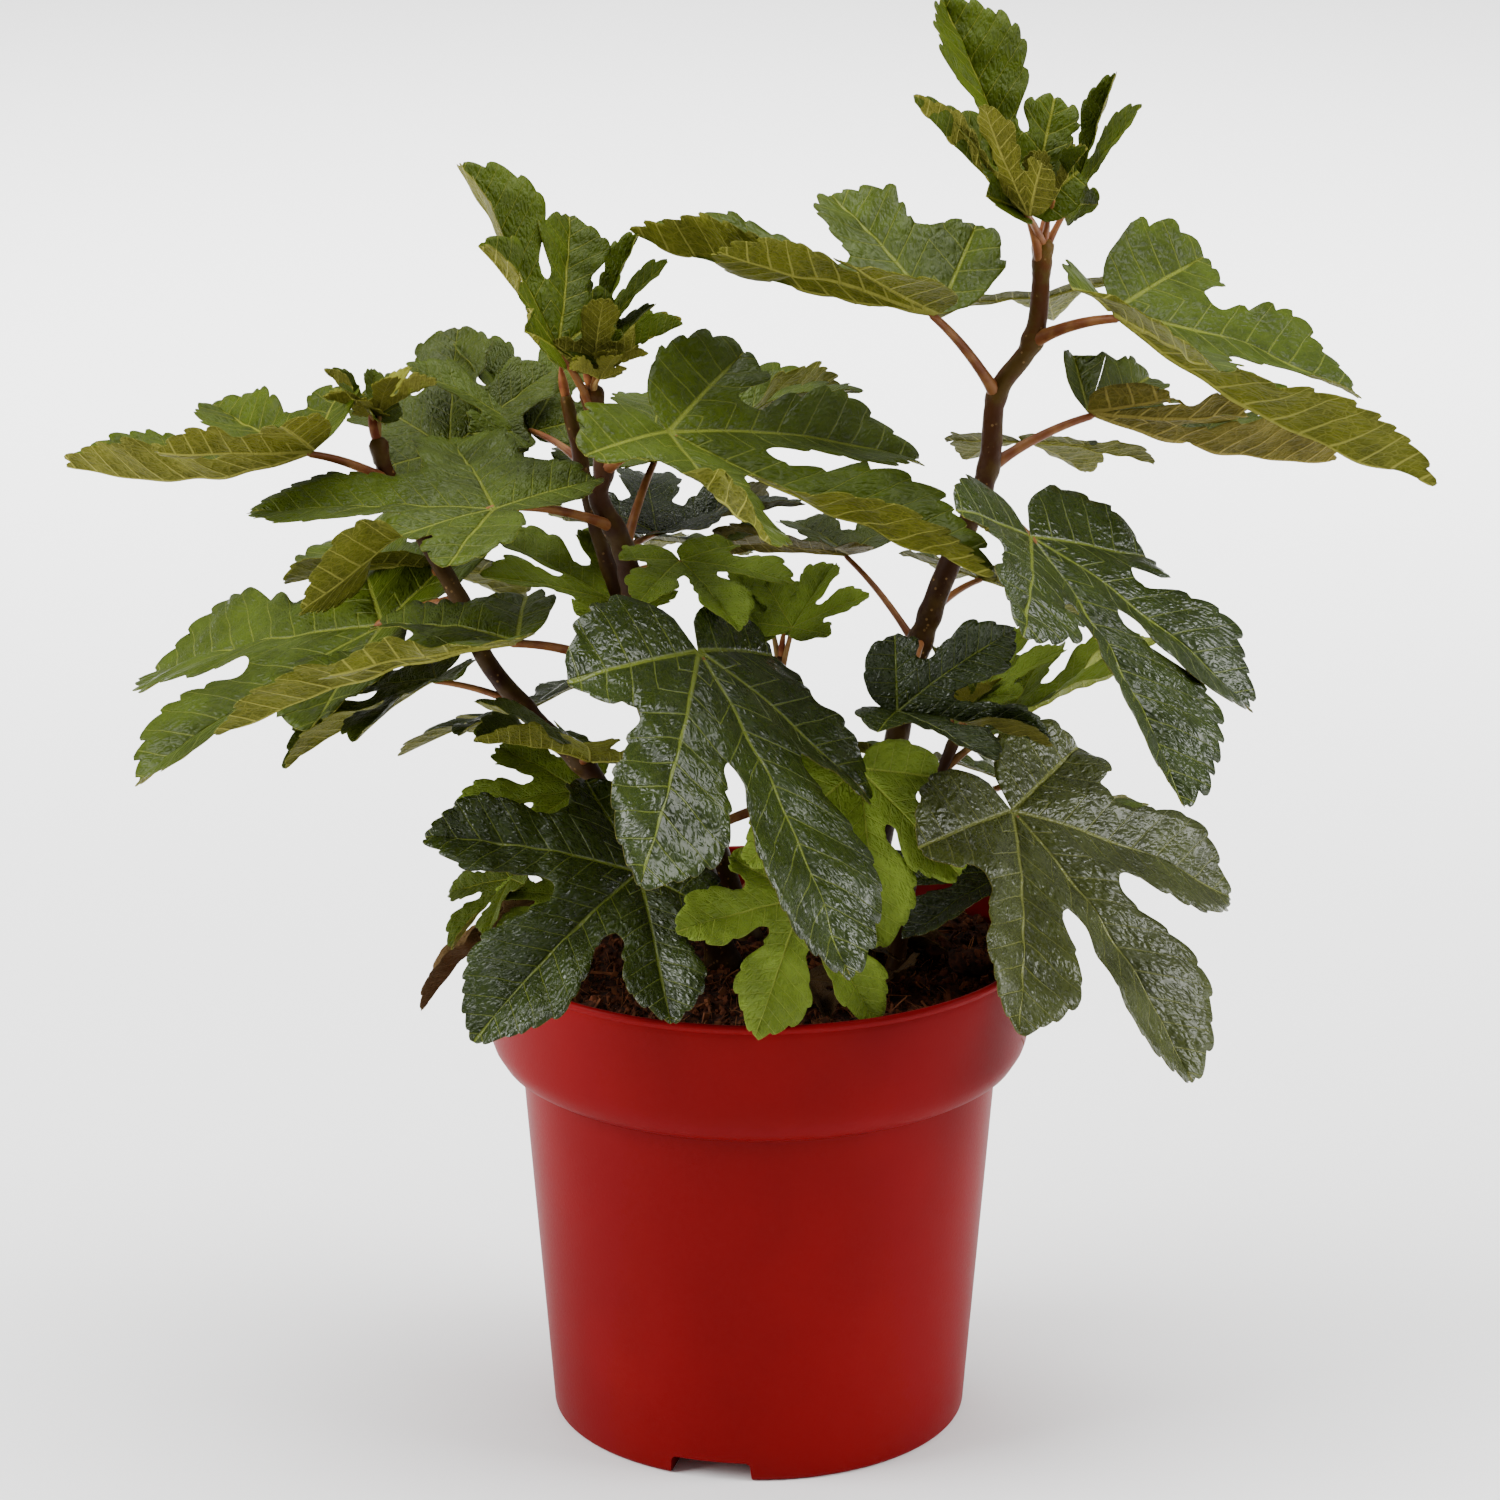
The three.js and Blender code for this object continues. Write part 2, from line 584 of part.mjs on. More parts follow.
// ---- looks -------------------------------------------------------------------
const looks = {
  pot: new THREE.MeshStandardMaterial({ color: 0xb3161a, roughness: 0.42, metalness: 0 }),
  soil: new THREE.MeshStandardMaterial({ color: 0x3a1f14, roughness: 0.95, metalness: 0 }),
  bark: new THREE.MeshStandardMaterial({ color: 0x5a4630, roughness: 0.7, metalness: 0 }),
  leaf: new THREE.MeshStandardMaterial({ color: 0x4a6b22, roughness: 0.45, metalness: 0 }),
};

const plant = new THREE.Group();

// ---- pot and soil ------------------------------------------------------------
function potProfile() {
  const { height, rimRadius, rimWidth, wall, collarFoot, collarRadius, stepRadius, bodyRadius } = pot;
  const { baseRadius, edge, floor } = pot;
  const innerBase = baseRadius + ((bodyRadius - baseRadius) * floor) / collarFoot - wall;
  return [
    [0, 0], [baseRadius - edge, 0], [baseRadius - edge * 0.2, edge * 0.4], [baseRadius, edge * 1.4],
    [bodyRadius, collarFoot], [stepRadius, collarFoot],
    [collarRadius - 3.2, collarFoot + 3.5], [collarRadius - 0.8, collarFoot + 9],
    [collarRadius, collarFoot + 16], [rimRadius - 0.7, height - 6],
    [rimRadius, height - 5], [rimRadius, height - 0.8], [rimRadius - 0.6, height],
    [rimRadius - rimWidth, height], [rimRadius - rimWidth - 0.8, height - 6],
    [collarRadius - wall, collarFoot + 17], [collarRadius - wall - 3, collarFoot + 8],
    [stepRadius - wall, collarFoot + 3], [bodyRadius - wall, collarFoot],
    [innerBase, floor], [0, floor],
  ];
}

function potSolid() {
  let solid = turned(potProfile(), pot.sides);
  for (let i = 0; i < notch.count; i += 1) {
    const cutter = new THREE.BoxGeometry(2 * notch.depth + 6, notch.width, 2 * notch.height);
    cutter.translate(pot.baseRadius + 3, 0, 0);
    cutter.rotateZ(rad(notch.firstTurn + (360 * i) / notch.count));
    solid = solid.subtract(fromGeometry(cutter));
  }
  return solid;
}

function soilSolid() {
  const { collarFoot, collarRadius, stepRadius, bodyRadius } = pot;
  const { baseRadius, floor, wall, rimRadius, rimWidth } = pot;
  const inset = wall + gap + 0.3;
  const innerBase = baseRadius + ((bodyRadius - baseRadius) * floor) / collarFoot - inset;
  const rise = (soilTop - collarFoot - 17) / (pot.height - 6 - collarFoot - 17);
  const lowEdge = collarRadius - inset;
  const highEdge = rimRadius - rimWidth - 0.8 - gap - 0.3;
  return turned([
    [0, floor + gap], [innerBase, floor + gap], [bodyRadius - inset, collarFoot],
    [stepRadius - inset, collarFoot + 3.4], [collarRadius - inset - 3, collarFoot + 8.4],
    [lowEdge, collarFoot + 17.4], [lowEdge + (highEdge - lowEdge) * rise, soilTop], [0, soilTop],
  ], pot.sides);
}

plant.add(toMesh('pot', potSolid(), looks.pot));
plant.add(toMesh('soil', soilSolid(), looks.soil));

// ---- bare stems and leafy stretches --------------------------------------------
const firstLeafy = {};
for (const mass of Object.values(masses)) {
  const low = firstLeafy[mass.stem] ?? Infinity;
  firstLeafy[mass.stem] = Math.min(low, mass.from);
}

for (const [name, stem] of Object.entries(stems)) {
  const top = firstLeafy[name] ? shareAt(stem, firstLeafy[name]) : 1;
  const solid = stemStretch(stem, 0, top, 16).trimByPlane([0, 0, 1], soilTop + gap);
  plant.add(toMesh(`stem_${name}`, solid, looks.bark));
}

for (const [name, mass] of Object.entries(masses)) {
  const stem = stems[mass.stem];
  const reachesTip = mass.to >= stem.way.at(-1)[2];
  const from = shareAt(stem, mass.from) + gap / stem.length;
  const to = reachesTip ? 1 : shareAt(stem, mass.to);
  const parts = [stemStretch(stem, from, to, 14)];
  for (const row of [...mass.leaves, ...backLeaves(mass, stem, mass.from)]) {
    const leaf = { ...restShape, ...row };
    const start = stem.curve.getPointAt(Math.min(shareAt(stem, leaf.node), 0.999));
    parts.push(leafSolid(leaf, start));
  }
  const fused = parts.reduce((a, b) => a.add(b));
  plant.add(toMesh(name, mainPiece(fused), looks.leaf));
}

export default plant;
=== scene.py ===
# A young fig tree in a red nursery pot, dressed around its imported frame.
import math

import bpy
import numpy as np
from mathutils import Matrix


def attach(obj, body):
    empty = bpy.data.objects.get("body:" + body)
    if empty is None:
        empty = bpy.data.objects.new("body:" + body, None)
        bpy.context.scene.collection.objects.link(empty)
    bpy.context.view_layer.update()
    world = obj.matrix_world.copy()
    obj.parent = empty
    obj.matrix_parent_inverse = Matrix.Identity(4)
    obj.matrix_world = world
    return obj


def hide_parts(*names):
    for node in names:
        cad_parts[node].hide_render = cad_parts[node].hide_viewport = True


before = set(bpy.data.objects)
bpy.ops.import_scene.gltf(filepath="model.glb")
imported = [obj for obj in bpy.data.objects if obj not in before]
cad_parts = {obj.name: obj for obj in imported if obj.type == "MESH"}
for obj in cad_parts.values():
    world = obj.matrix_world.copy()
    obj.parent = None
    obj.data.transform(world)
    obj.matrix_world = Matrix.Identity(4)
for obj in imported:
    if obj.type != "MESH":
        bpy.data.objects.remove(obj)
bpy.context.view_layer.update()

millimetre = 0.001
anyTurn = 6.28      # random turns and phases lie between 0 and this
tiny = 1e-12        # keeps a divisor above 0


# camera and light
viewpoint = {"eye": (-0.00346, -1.778, 0.805), "pitch": 17.0, "lens": 119.64, "sensor": 36.0}

studio = {
    "world": ((1.0, 1.0, 1.0), 0.38),
    "floorSize": 24.0,
    "floorColour": (0.94, 0.94, 0.94, 1),
    "floorRoughness": 0.9,
    # name: place, aim, size, watts
    "lamps": {
        "leftLight": ((-2.0, -0.5, 1.2), (0, 0, 0.25), 1.4, 84),
        "rightLight": ((2.0, -0.4, 1.0), (0, 0, 0.25), 1.2, 56),
        "topLight": ((0.1, 0.2, 2.4), (0, 0, 0.2), 2.2, 115),
        "backLight": ((0, 2.2, 2.3), (0, 4.6, 0), 3.0, 300),
    },
}


def linkObject(name, data):
    made = bpy.data.objects.new(name, data)
    bpy.context.collection.objects.link(made)
    return made


def placeCamera():
    lens = bpy.data.cameras.new("camera")
    lens.lens = viewpoint["lens"]
    lens.sensor_width = viewpoint["sensor"]
    eye = linkObject("camera", lens)
    eye.location = viewpoint["eye"]
    eye.rotation_euler = (math.radians(90 - viewpoint["pitch"]), 0, 0)
    bpy.context.scene.camera = eye


def placeLights():
    for name, (place, aim, size, watts) in studio["lamps"].items():
        lamp = bpy.data.lights.new(name, "AREA")
        lamp.shape = "SQUARE"
        lamp.size = size
        lamp.energy = watts
        holder = linkObject(name, lamp)
        holder.location = place
        toward = np.array(aim) - np.array(place)
        side = math.atan2(toward[0], -toward[1])
        down = math.atan2(math.hypot(toward[0], toward[1]), -toward[2])
        holder.rotation_euler = (down, 0, math.pi + side)
    colour, strength = studio["world"]
    world = bpy.data.worlds.new("studio")
    world.use_nodes = True
    background = world.node_tree.nodes["Background"]
    background.inputs["Color"].default_value = (*colour, 1)
    background.inputs["Strength"].default_value = strength
    bpy.context.scene.world = world


# node helpers
def addNode(tree, kind, **settings):
    node = tree.nodes.new(kind)
    for key, value in settings.items():
        setattr(node, key, value)
    return node


def feed(tree, socket, value):
    if isinstance(value, bpy.types.NodeSocket):
        tree.links.new(value, socket)
    else:
        socket.default_value = value


def calc(tree, operation, *values):
    node = addNode(tree, "ShaderNodeMath", operation=operation)
    for socket, value in zip(node.inputs, values):
        feed(tree, socket, value)
    return node.outputs[0]


def remap(tree, value, low, high, toLow=0.0, toHigh=1.0):
    node = addNode(tree, "ShaderNodeMapRange", interpolation_type="SMOOTHSTEP")
    for name, given in (("Value", value), ("From Min", low), ("From Max", high),
                        ("To Min", toLow), ("To Max", toHigh)):
        feed(tree, node.inputs[name], given)
    return node.outputs[0]


def blend(tree, share, first, second):
    node = addNode(tree, "ShaderNodeMix", data_type="RGBA")
    for socket, value in zip((node.inputs[0], node.inputs[6], node.inputs[7]), (share, first, second)):
        feed(tree, socket, value)
    return node.outputs[2]


def noise(tree, vector, scale, detail=3.0, roughness=0.55):
    node = addNode(tree, "ShaderNodeTexNoise")
    feed(tree, node.inputs["Vector"], vector)
    node.inputs["Scale"].default_value = scale
    node.inputs["Detail"].default_value = detail
    node.inputs["Roughness"].default_value = roughness
    return node.outputs["Fac"]


def cells(tree, vector, scale, feature="DISTANCE_TO_EDGE"):
    node = addNode(tree, "ShaderNodeTexVoronoi", feature=feature)
    feed(tree, node.inputs["Vector"], vector)
    feed(tree, node.inputs["Scale"], scale)
    return node.outputs["Distance"]


def addInputs(tree, inputs):
    for label, kind, value in inputs:
        socket = tree.interface.new_socket(label, in_out="INPUT", socket_type=kind)
        if value is not None:
            socket.default_value = value


def startGroup(name, inputs, outputs):
    group = bpy.data.node_groups.new(name, "ShaderNodeTree")
    addInputs(group, inputs)
    for label in outputs:
        group.interface.new_socket(label, in_out="OUTPUT", socket_type="NodeSocketFloat")
    return group, addNode(group, "NodeGroupInput"), addNode(group, "NodeGroupOutput")


def startFinish(name):
    finish = bpy.data.materials.new(name)
    finish.use_nodes = True
    return finish, finish.node_tree, finish.node_tree.nodes["Principled BSDF"]


def objectPlace(tree):
    return addNode(tree, "ShaderNodeTexCoord").outputs["Object"]


def useGroup(tree, group, vectorName, vector, **values):
    node = addNode(tree, "ShaderNodeGroup", node_tree=group)
    tree.links.new(vector, node.inputs[vectorName])
    for label, value in values.items():
        node.inputs[label].default_value = value
    return node


def addBump(tree, shader, height, distance, strength=1.0, invert=False):
    bump = addNode(tree, "ShaderNodeBump", invert=invert)
    bump.inputs["Strength"].default_value = strength
    bump.inputs["Distance"].default_value = distance
    tree.links.new(height, bump.inputs["Height"])
    tree.links.new(bump.outputs[0], shader.inputs["Normal"])


# the pieces' meshes
def gridFaces(rows, columns, closed=False):
    here = np.arange(rows * columns).reshape(rows, columns)
    beside = np.roll(here, -1, axis=1) if closed else here[:, 1:]
    first = here if closed else here[:, :-1]
    a, b = first[:-1].ravel(), first[1:].ravel()
    c, d = beside[1:].ravel(), beside[:-1].ravel()
    return np.concatenate([np.stack([a, b, c], 1), np.stack([a, c, d], 1)])


# Points that fall together become one. Gives the points that stay, the faces and their corners' uv.
def weld(points, faces, uv, gap=1e-5):
    keys = np.round(points / gap).astype(np.int64)
    _, kept, inverse = np.unique(keys, axis=0, return_index=True, return_inverse=True)
    welded = inverse.ravel()[faces]
    a, b, c = welded.T
    real = (a != b) & (b != c) & (c != a)
    return kept, welded[real], uv[faces][real]


def pointNormals(points, faces):
    a, b, c = (points[faces[:, i]] for i in range(3))
    cross = np.cross(b - a, c - a)
    normals = np.zeros_like(points)
    for i in range(3):
        np.add.at(normals, faces[:, i], cross)
    return normals / np.maximum(np.linalg.norm(normals, axis=1, keepdims=True), tiny)


def part(points, faces, corners, finish, smooth=True):
    return {"points": points, "faces": faces, "corners": corners,
            "finish": [finish] * len(faces) if isinstance(finish, str) else finish,
            "smooth": np.full(len(faces), smooth) if np.isscalar(smooth) else smooth}


# closed rings of points as one skin
def ringPart(rings, uv, finish):
    points = rings.reshape(-1, 3)
    faces = gridFaces(*rings.shape[:2], closed=True)[:, ::-1]
    kept, faces, corners = weld(points, faces, uv.reshape(-1, 2))
    return part(points[kept], faces, corners, finish)


def turnsOf(sides):
    return 2 * np.pi * np.arange(sides) / sides


def buildPiece(name, parts, finishes):
    starts = np.cumsum([0] + [len(p["points"]) for p in parts[:-1]])
    points = np.concatenate([p["points"] for p in parts])
    faces = np.concatenate([p["faces"] + start for p, start in zip(parts, starts)])
    corners = np.concatenate([p["corners"] for p in parts])
    smooth = np.concatenate([p["smooth"] for p in parts])
    names = np.concatenate([np.asarray(p["finish"]) for p in parts])
    used, index = np.unique(names, return_inverse=True)
    mesh = bpy.data.meshes.new(name)
    mesh.vertices.add(len(points))
    mesh.vertices.foreach_set("co", points.astype(np.float32).ravel())
    mesh.loops.add(faces.size)
    mesh.loops.foreach_set("vertex_index", faces.astype(np.int32).ravel())
    mesh.polygons.add(len(faces))
    mesh.polygons.foreach_set("loop_start", np.arange(0, faces.size, 3, dtype=np.int32))
    mesh.polygons.foreach_set("material_index", index.ravel().astype(np.int32))
    mesh.polygons.foreach_set("use_smooth", smooth)
    layer = mesh.uv_layers.new(name="blade")
    layer.data.foreach_set("uv", corners.astype(np.float32).ravel())
    mesh.update(calc_edges=True)
    mesh.validate()
    for label in used:
        mesh.materials.append(finishes[str(label)])
    return linkObject(name, mesh)


def lengthAlong(points):
    return np.concatenate([[0], np.cumsum(np.linalg.norm(np.diff(points, axis=0), axis=1))])


# a round limb along a row of points; both ends close on a point
def limb(points, radii, sides, finish):
    tangents = np.gradient(points, axis=0)
    tangents /= np.linalg.norm(tangents, axis=1, keepdims=True)
    aside = np.eye(3)[np.argmin(np.abs(points[-1] - points[0]))]
    across = aside - tangents * (tangents @ aside)[:, None]
    across /= np.linalg.norm(across, axis=1, keepdims=True)
    over = np.cross(tangents, across)
    turns = turnsOf(sides)
    ring = across[:, None] * np.cos(turns)[:, None] + over[:, None] * np.sin(turns)[:, None]
    if radii.ndim == 1:
        radii = np.repeat(radii[:, None], sides, 1)
    skin = points[:, None] + ring * radii[:, :, None]
    firstPoint, lastPoint = (np.repeat(end[:, None], sides, 1) for end in (points[:1], points[-1:]))
    skin = np.concatenate([firstPoint, skin, lastPoint])
    far = lengthAlong(points)
    far = np.concatenate([far[:1], far, far[-1:]])
    uv = np.stack([np.repeat(far[:, None], sides, 1), np.repeat(turns[None] / (2 * np.pi), len(far), 0)], 2)
    return ringPart(skin, uv, finish)


# The fig leaf: one blade of five lobes. Lengths are shares of the midrib and turns are in degrees.
leafForm = {
    # turn, reach and belly of the middle, left, right, left basal and right basal lobe
    "lobes": [(0, 1.0, 0.225), (47, 0.86, 0.185), (-47, 0.86, 0.185), (97, 0.48, 0.135), (-97, 0.48, 0.135)],
    "halfTurn": 23.5,       # half the angle between two lobes
    "lowHalfTurn": 25,      # the same towards a basal lobe
    "shoulder": 1.35,       # how far the heart-shaped base bulges past a basal lobe's belly
    "shoulderCurve": (2.2, 0.5, 0.65),      # its scale, and the powers of its rise and fall
    "tipCurve": (1.8, 0.88),                # the powers that close a lobe towards its tip
    "widest": 0.56,         # where a free lobe is widest, and where its waist is
    "waistPlace": 0.13,
    "pleat": 12,            # slope of the blade from rib to sinus
    "freeShare": 0.4,       # share of a free lobe over which its own slope takes over
    "leastDroop": 1e-3,     # in radians; a leaf with none still bends this little
    "slant": 0.75,          # how far the side veins lean towards the tip
    "outerSlant": 0.1,      # the same on the outer side of a basal lobe
    "veinSpacing": 0.0875,
    "ribDepth": 0.008,      # how far the ribs stand out below, and the share of it lost towards their tips
    "ribFade": 0.75,
}

toothForm = {
    "rows": (5, 10),        # fewest and most vein rows to a tooth
    "depth": 0.027,         # of a tooth with as many rows as the next value says
    "depthRows": 6,
    "smallest": 0.5,        # each tooth is drawn between this share of its depth and the whole
    "from": 0.02,           # how far past the sinus the teeth begin, and how long they take to grow
    "grow": 0.1,
    "tip": 0.02,            # how far before the tip they fade out
    "outerFrom": 0.1,       # where they begin on the outer margin of a basal lobe
    "marginSteps": (60, 400),       # up to the sinus, and from there to the tip
    "leastRise": 1e-9,
    "along": (0.0, 0.25, 0.5, 0.72, 0.86, 1.0),     # the outline of one tooth
    "rise": (0.0, 0.4, 0.8, 1.0, 0.75, 0.1),
    "lean": (0.0, 0.05, 0.2, 0.5, 0.5, 0.1),
}

# How a leaf stands when its row says nothing else. Turns are in degrees; L and R are its left and right half.
restShape = {
    "roll": 0,
    "foldL": 10, "foldR": 10,       # how steeply a half rises from the midrib
    "archL": 20, "archR": 20,       # how far it bends back down towards its margin
    "cup": 20, "cupL": 20, "cupR": 20,      # how hollow the middle lobe and the side lobes are
    "turnL": 0, "turnR": 0,         # a side lobe's turn about its own rib
    "sagL": 0, "sagR": 0,           # how far a side lobe hangs
    "droop": 15, "twist": 0,        # along the midrib
    "spreadL": 1, "spreadR": 1, "sideL": 1, "sideR": 1, "slim": 1,      # the lobes' turn, size and width
    "palm": 0.33, "waist": 0.2,     # where the lobes part, and how they narrow there
    "teeth": 1,
    "bow": 0.1,                     # rise of the stalk
    "tone": "mid",
}


def smoothStep(a):
    q = np.clip(a, 0, 1)
    return q * q * (3 - 2 * q)


def tanOf(angle):
    return math.tan(math.radians(angle))


# Half the width of a lobe at s along its rib. Beta is half the angle to the next lobe; the outer side of a
# basal lobe has none.
def halfWidth(lobe, s, beta):
    form, palm = leafForm, lobe["palm"]
    if beta is None:
        scale, rising, falling = form["shoulderCurve"]
        u = np.clip(s / lobe["reach"], 0, 1)
        return scale * form["shoulder"] * lobe["belly"] * u ** rising * (1 - u) ** falling
    start = palm * tanOf(beta)
    q = np.maximum((s - palm) / (lobe["reach"] - palm), 0)
    near = q / form["waistPlace"]
    pinch = lobe["waist"] * start * near * np.exp(1 - near)
    grown = start + (lobe["belly"] - start) * smoothStep(q / form["widest"]) - pinch
    fullness, point = form["tipCurve"]
    p = np.clip((q - form["widest"]) / (1 - form["widest"]), 0, 1)
    closing = lobe["belly"] * (1 - p ** fullness) ** point
    free = np.where(q < form["widest"], grown, closing)
    return np.where(s <= palm, s * tanOf(beta), free)


def lobeOf(leaf, k):
    spread = 1 if k == 0 else leaf["spreadL"] if k % 2 else leaf["spreadR"]
    side = 1 if k == 0 else leaf["sideL"] if k % 2 else leaf["sideR"]
    half, low = leafForm["halfTurn"], leafForm["lowHalfTurn"] * spread
    inner = half * spread
    edges = [(half * leaf["spreadL"], half * leaf["spreadR"]),
             (low, inner), (inner, low), (None, low), (low, None)]
    turn, reach, belly = leafForm["lobes"][k]
    return {"betaL": edges[k][0], "betaR": edges[k][1], "turn": turn * spread, "reach": reach * side,
            "belly": belly * side * leaf["slim"], "palm": leaf["palm"], "waist": leaf["waist"]}


# a place on lobe k of the blade: s along its rib, t across it
def bladePoint(leaf, k, s, t):
    lobe = lobeOf(leaf, k)
    palm, pleat = leaf["palm"], leafForm["pleat"]
    cup = leaf["cup"] if k == 0 else leaf["cupL"] if k % 2 else leaf["cupR"]
    free = smoothStep((s - palm) / (leafForm["freeShare"] * (lobe["reach"] - palm)))
    # a side lobe may hang from where it comes free, and turn about its own rib with its outer margin up
    lean = (0, leaf["turnL"], leaf["turnR"], 0, 0)[k]
    sag = math.radians((0, leaf["sagL"], leaf["sagR"], 0, 0)[k])
    hung = np.maximum(s - palm, 0) * free
    outside = np.where(t * (1 if k == 1 else -1) >= 0, lean, -lean)
    slope = np.radians(pleat + (cup - pleat + outside) * free)
    across = t * (1 + (np.cos(slope) - 1) * free)
    rise = np.abs(t) * (tanOf(pleat) * (1 - free) + np.sin(slope) * free) - math.sin(sag) * hung
    s = s - (1 - math.cos(sag)) * hung
    turn = math.radians(lobe["turn"])
    x = s * math.cos(turn) - across * math.sin(turn)
    y = s * math.sin(turn) + across * math.cos(turn)
    left = y >= 0
    fold = np.radians(np.where(left, leaf["foldL"], leaf["foldR"]))
    arch = -np.radians(np.where(left, leaf["archL"], leaf["archR"]))
    tilt = fold + arch * np.abs(y)
    wide = np.where(left, 1, -1) * ((np.sin(tilt) - np.sin(fold)) / arch - np.sin(tilt) * rise)
    high = (np.cos(fold) - np.cos(tilt)) / arch + np.cos(tilt) * rise
    twist = math.radians(leaf["twist"]) * x
    y2 = wide * np.cos(twist) - high * np.sin(twist)
    z2 = wide * np.sin(twist) + high * np.cos(twist)
    droop = max(abs(math.radians(leaf["droop"])), leafForm["leastDroop"]) * (-1 if leaf["droop"] < 0 else 1)
    bend = droop * x
    return np.stack([np.sin(bend) / droop + z2 * np.sin(bend), y2,
                     z2 * np.cos(bend) - (1 - np.cos(bend)) / droop], -1) * leaf["size"]


def leafAxes(leaf):
    aim, dip, roll = (math.radians(leaf[key]) for key in ("aim", "dip", "roll"))
    along = np.array([math.cos(dip) * math.cos(aim), math.cos(dip) * math.sin(aim), -math.sin(dip)])
    over = np.array([math.sin(dip) * math.cos(aim), math.sin(dip) * math.sin(aim), math.cos(dip)])
    left = np.cross(over, along)
    return np.array([along, left * math.cos(roll) + over * math.sin(roll),
                     over * math.cos(roll) - left * math.sin(roll)])


# the margin of one half lobe for each vein station, with its teeth as a separate shift
def marginRows(lobe, beta, stations, teeth, draw):
    form, outermost = toothForm, beta is None
    palm = form["outerFrom"] if outermost else lobe["palm"]
    slant = leafForm["outerSlant"] if outermost else leafForm["slant"]
    nearSteps, farSteps = form["marginSteps"]
    s = np.concatenate([np.linspace(0, palm, nearSteps), np.linspace(palm, lobe["reach"], farSteps)[1:]])
    t = halfWidth(lobe, s, beta)
    # where each place of the margin lies among the veins; it has to keep rising to be looked up
    way = np.maximum.accumulate(s - slant * t)
    way += np.linspace(0, form["leastRise"], len(way))
    ds, dt = np.gradient(s), np.gradient(t)
    step = np.hypot(ds, dt) + tiny
    arc = np.cumsum(step)
    atS, atT, awayS, awayT, atArc = (np.interp(stations, way, v) for v in (s, t, ds / step, dt / step, arc))
    begun = np.interp(palm, s, arc) + form["from"]
    strength = smoothStep((atArc - begun) / form["grow"])
    strength *= smoothStep((lobe["reach"] - stations) / form["tip"])
    marks = np.cumsum([0] + list(draw.randint(*form["rows"], len(stations))))
    marks = marks[marks <= len(stations) + form["rows"][1]]
    rows = np.arange(len(stations))
    tooth = np.searchsorted(marks, rows, side="right") - 1
    length = marks[tooth + 1] - marks[tooth]
    share = (rows - marks[tooth]) / length
    height = draw.uniform(form["smallest"], 1.0, len(marks))[tooth] * length / form["depthRows"]
    height *= form["depth"] * teeth * strength
    rise, lean = (np.interp(share, form["along"], form[way]) * height for way in ("rise", "lean"))
    shift = np.stack([-awayT * rise + awayS * lean, awayS * rise + awayT * lean], 1)
    return np.stack([atS, atT], 1), shift


leafDetail = {
    "fineFrom": 80,         # a leaf of this size or more has the fine rows and columns
    "fineRow": 0.0125,
    "coarseRow": 0.021,
    "fewestRows": 6,
    "palmRow": 0.021,
    "fewestPalmRows": 3,
    "fineColumns": (0.035, 0.12, 0.28, 0.48, 0.68, 0.86, 1.0),      # shares of the way from rib to margin
    "coarseColumns": (0.05, 0.2, 0.45, 0.72, 0.88, 1.0),
    "toothShares": (0.06, 0.3, 1.0),    # how far the last columns follow the teeth
    "weld": 2.5e-5,
    "thickness": 0.0034,
    "thinnest": 0.32,       # millimetres
    "thinMargin": (0.35, 3),        # the share of it lost at the margin, and the power with which it goes
}

# how the blade rises between its veins, and ripples towards its margin
leafRelief = {
    "puff": 0.0042,
    "puffRound": 0.8,
    "puffFrom": 0.035,      # how far from the rib it is full
    "flatMargin": (0.6, 4),         # the share of it lost at the margin, and the power with which it goes
    "crossFolds": 0.14,
    "crossSpacing": 0.036,
    "ripple": 0.013,
    "rippleFrom": 0.5,      # how far from the knot it is full
    "rippleWaves": (23, 19, 31),    # lengthwise, sideways and aslant
}


# one lobe as a flat grid: a row for each vein station, from the right margin over the rib to the left margin
def lobeGrid(lobe, stations, columns, teeth, draw):
    shares = leafDetail["toothShares"]
    follow = np.array([0.0] * (len(columns) - len(shares)) + list(shares))[None, :, None]
    rib = np.stack([stations, 0 * stations], 1)[:, None]
    halves = []
    for beta, sign in ((lobe["betaR"], -1), (lobe["betaL"], 1)):
        margin, shift = marginRows(lobe, beta, stations, teeth, draw)
        half = rib + columns[None, :, None] * (margin[:, None] - rib) + follow * shift[:, None]
        half[..., 1] *= sign
        halves.append(half)
    flat = np.concatenate([halves[0][:, ::-1], rib, halves[1]], 1)
    return flat[..., 0], flat[..., 1]


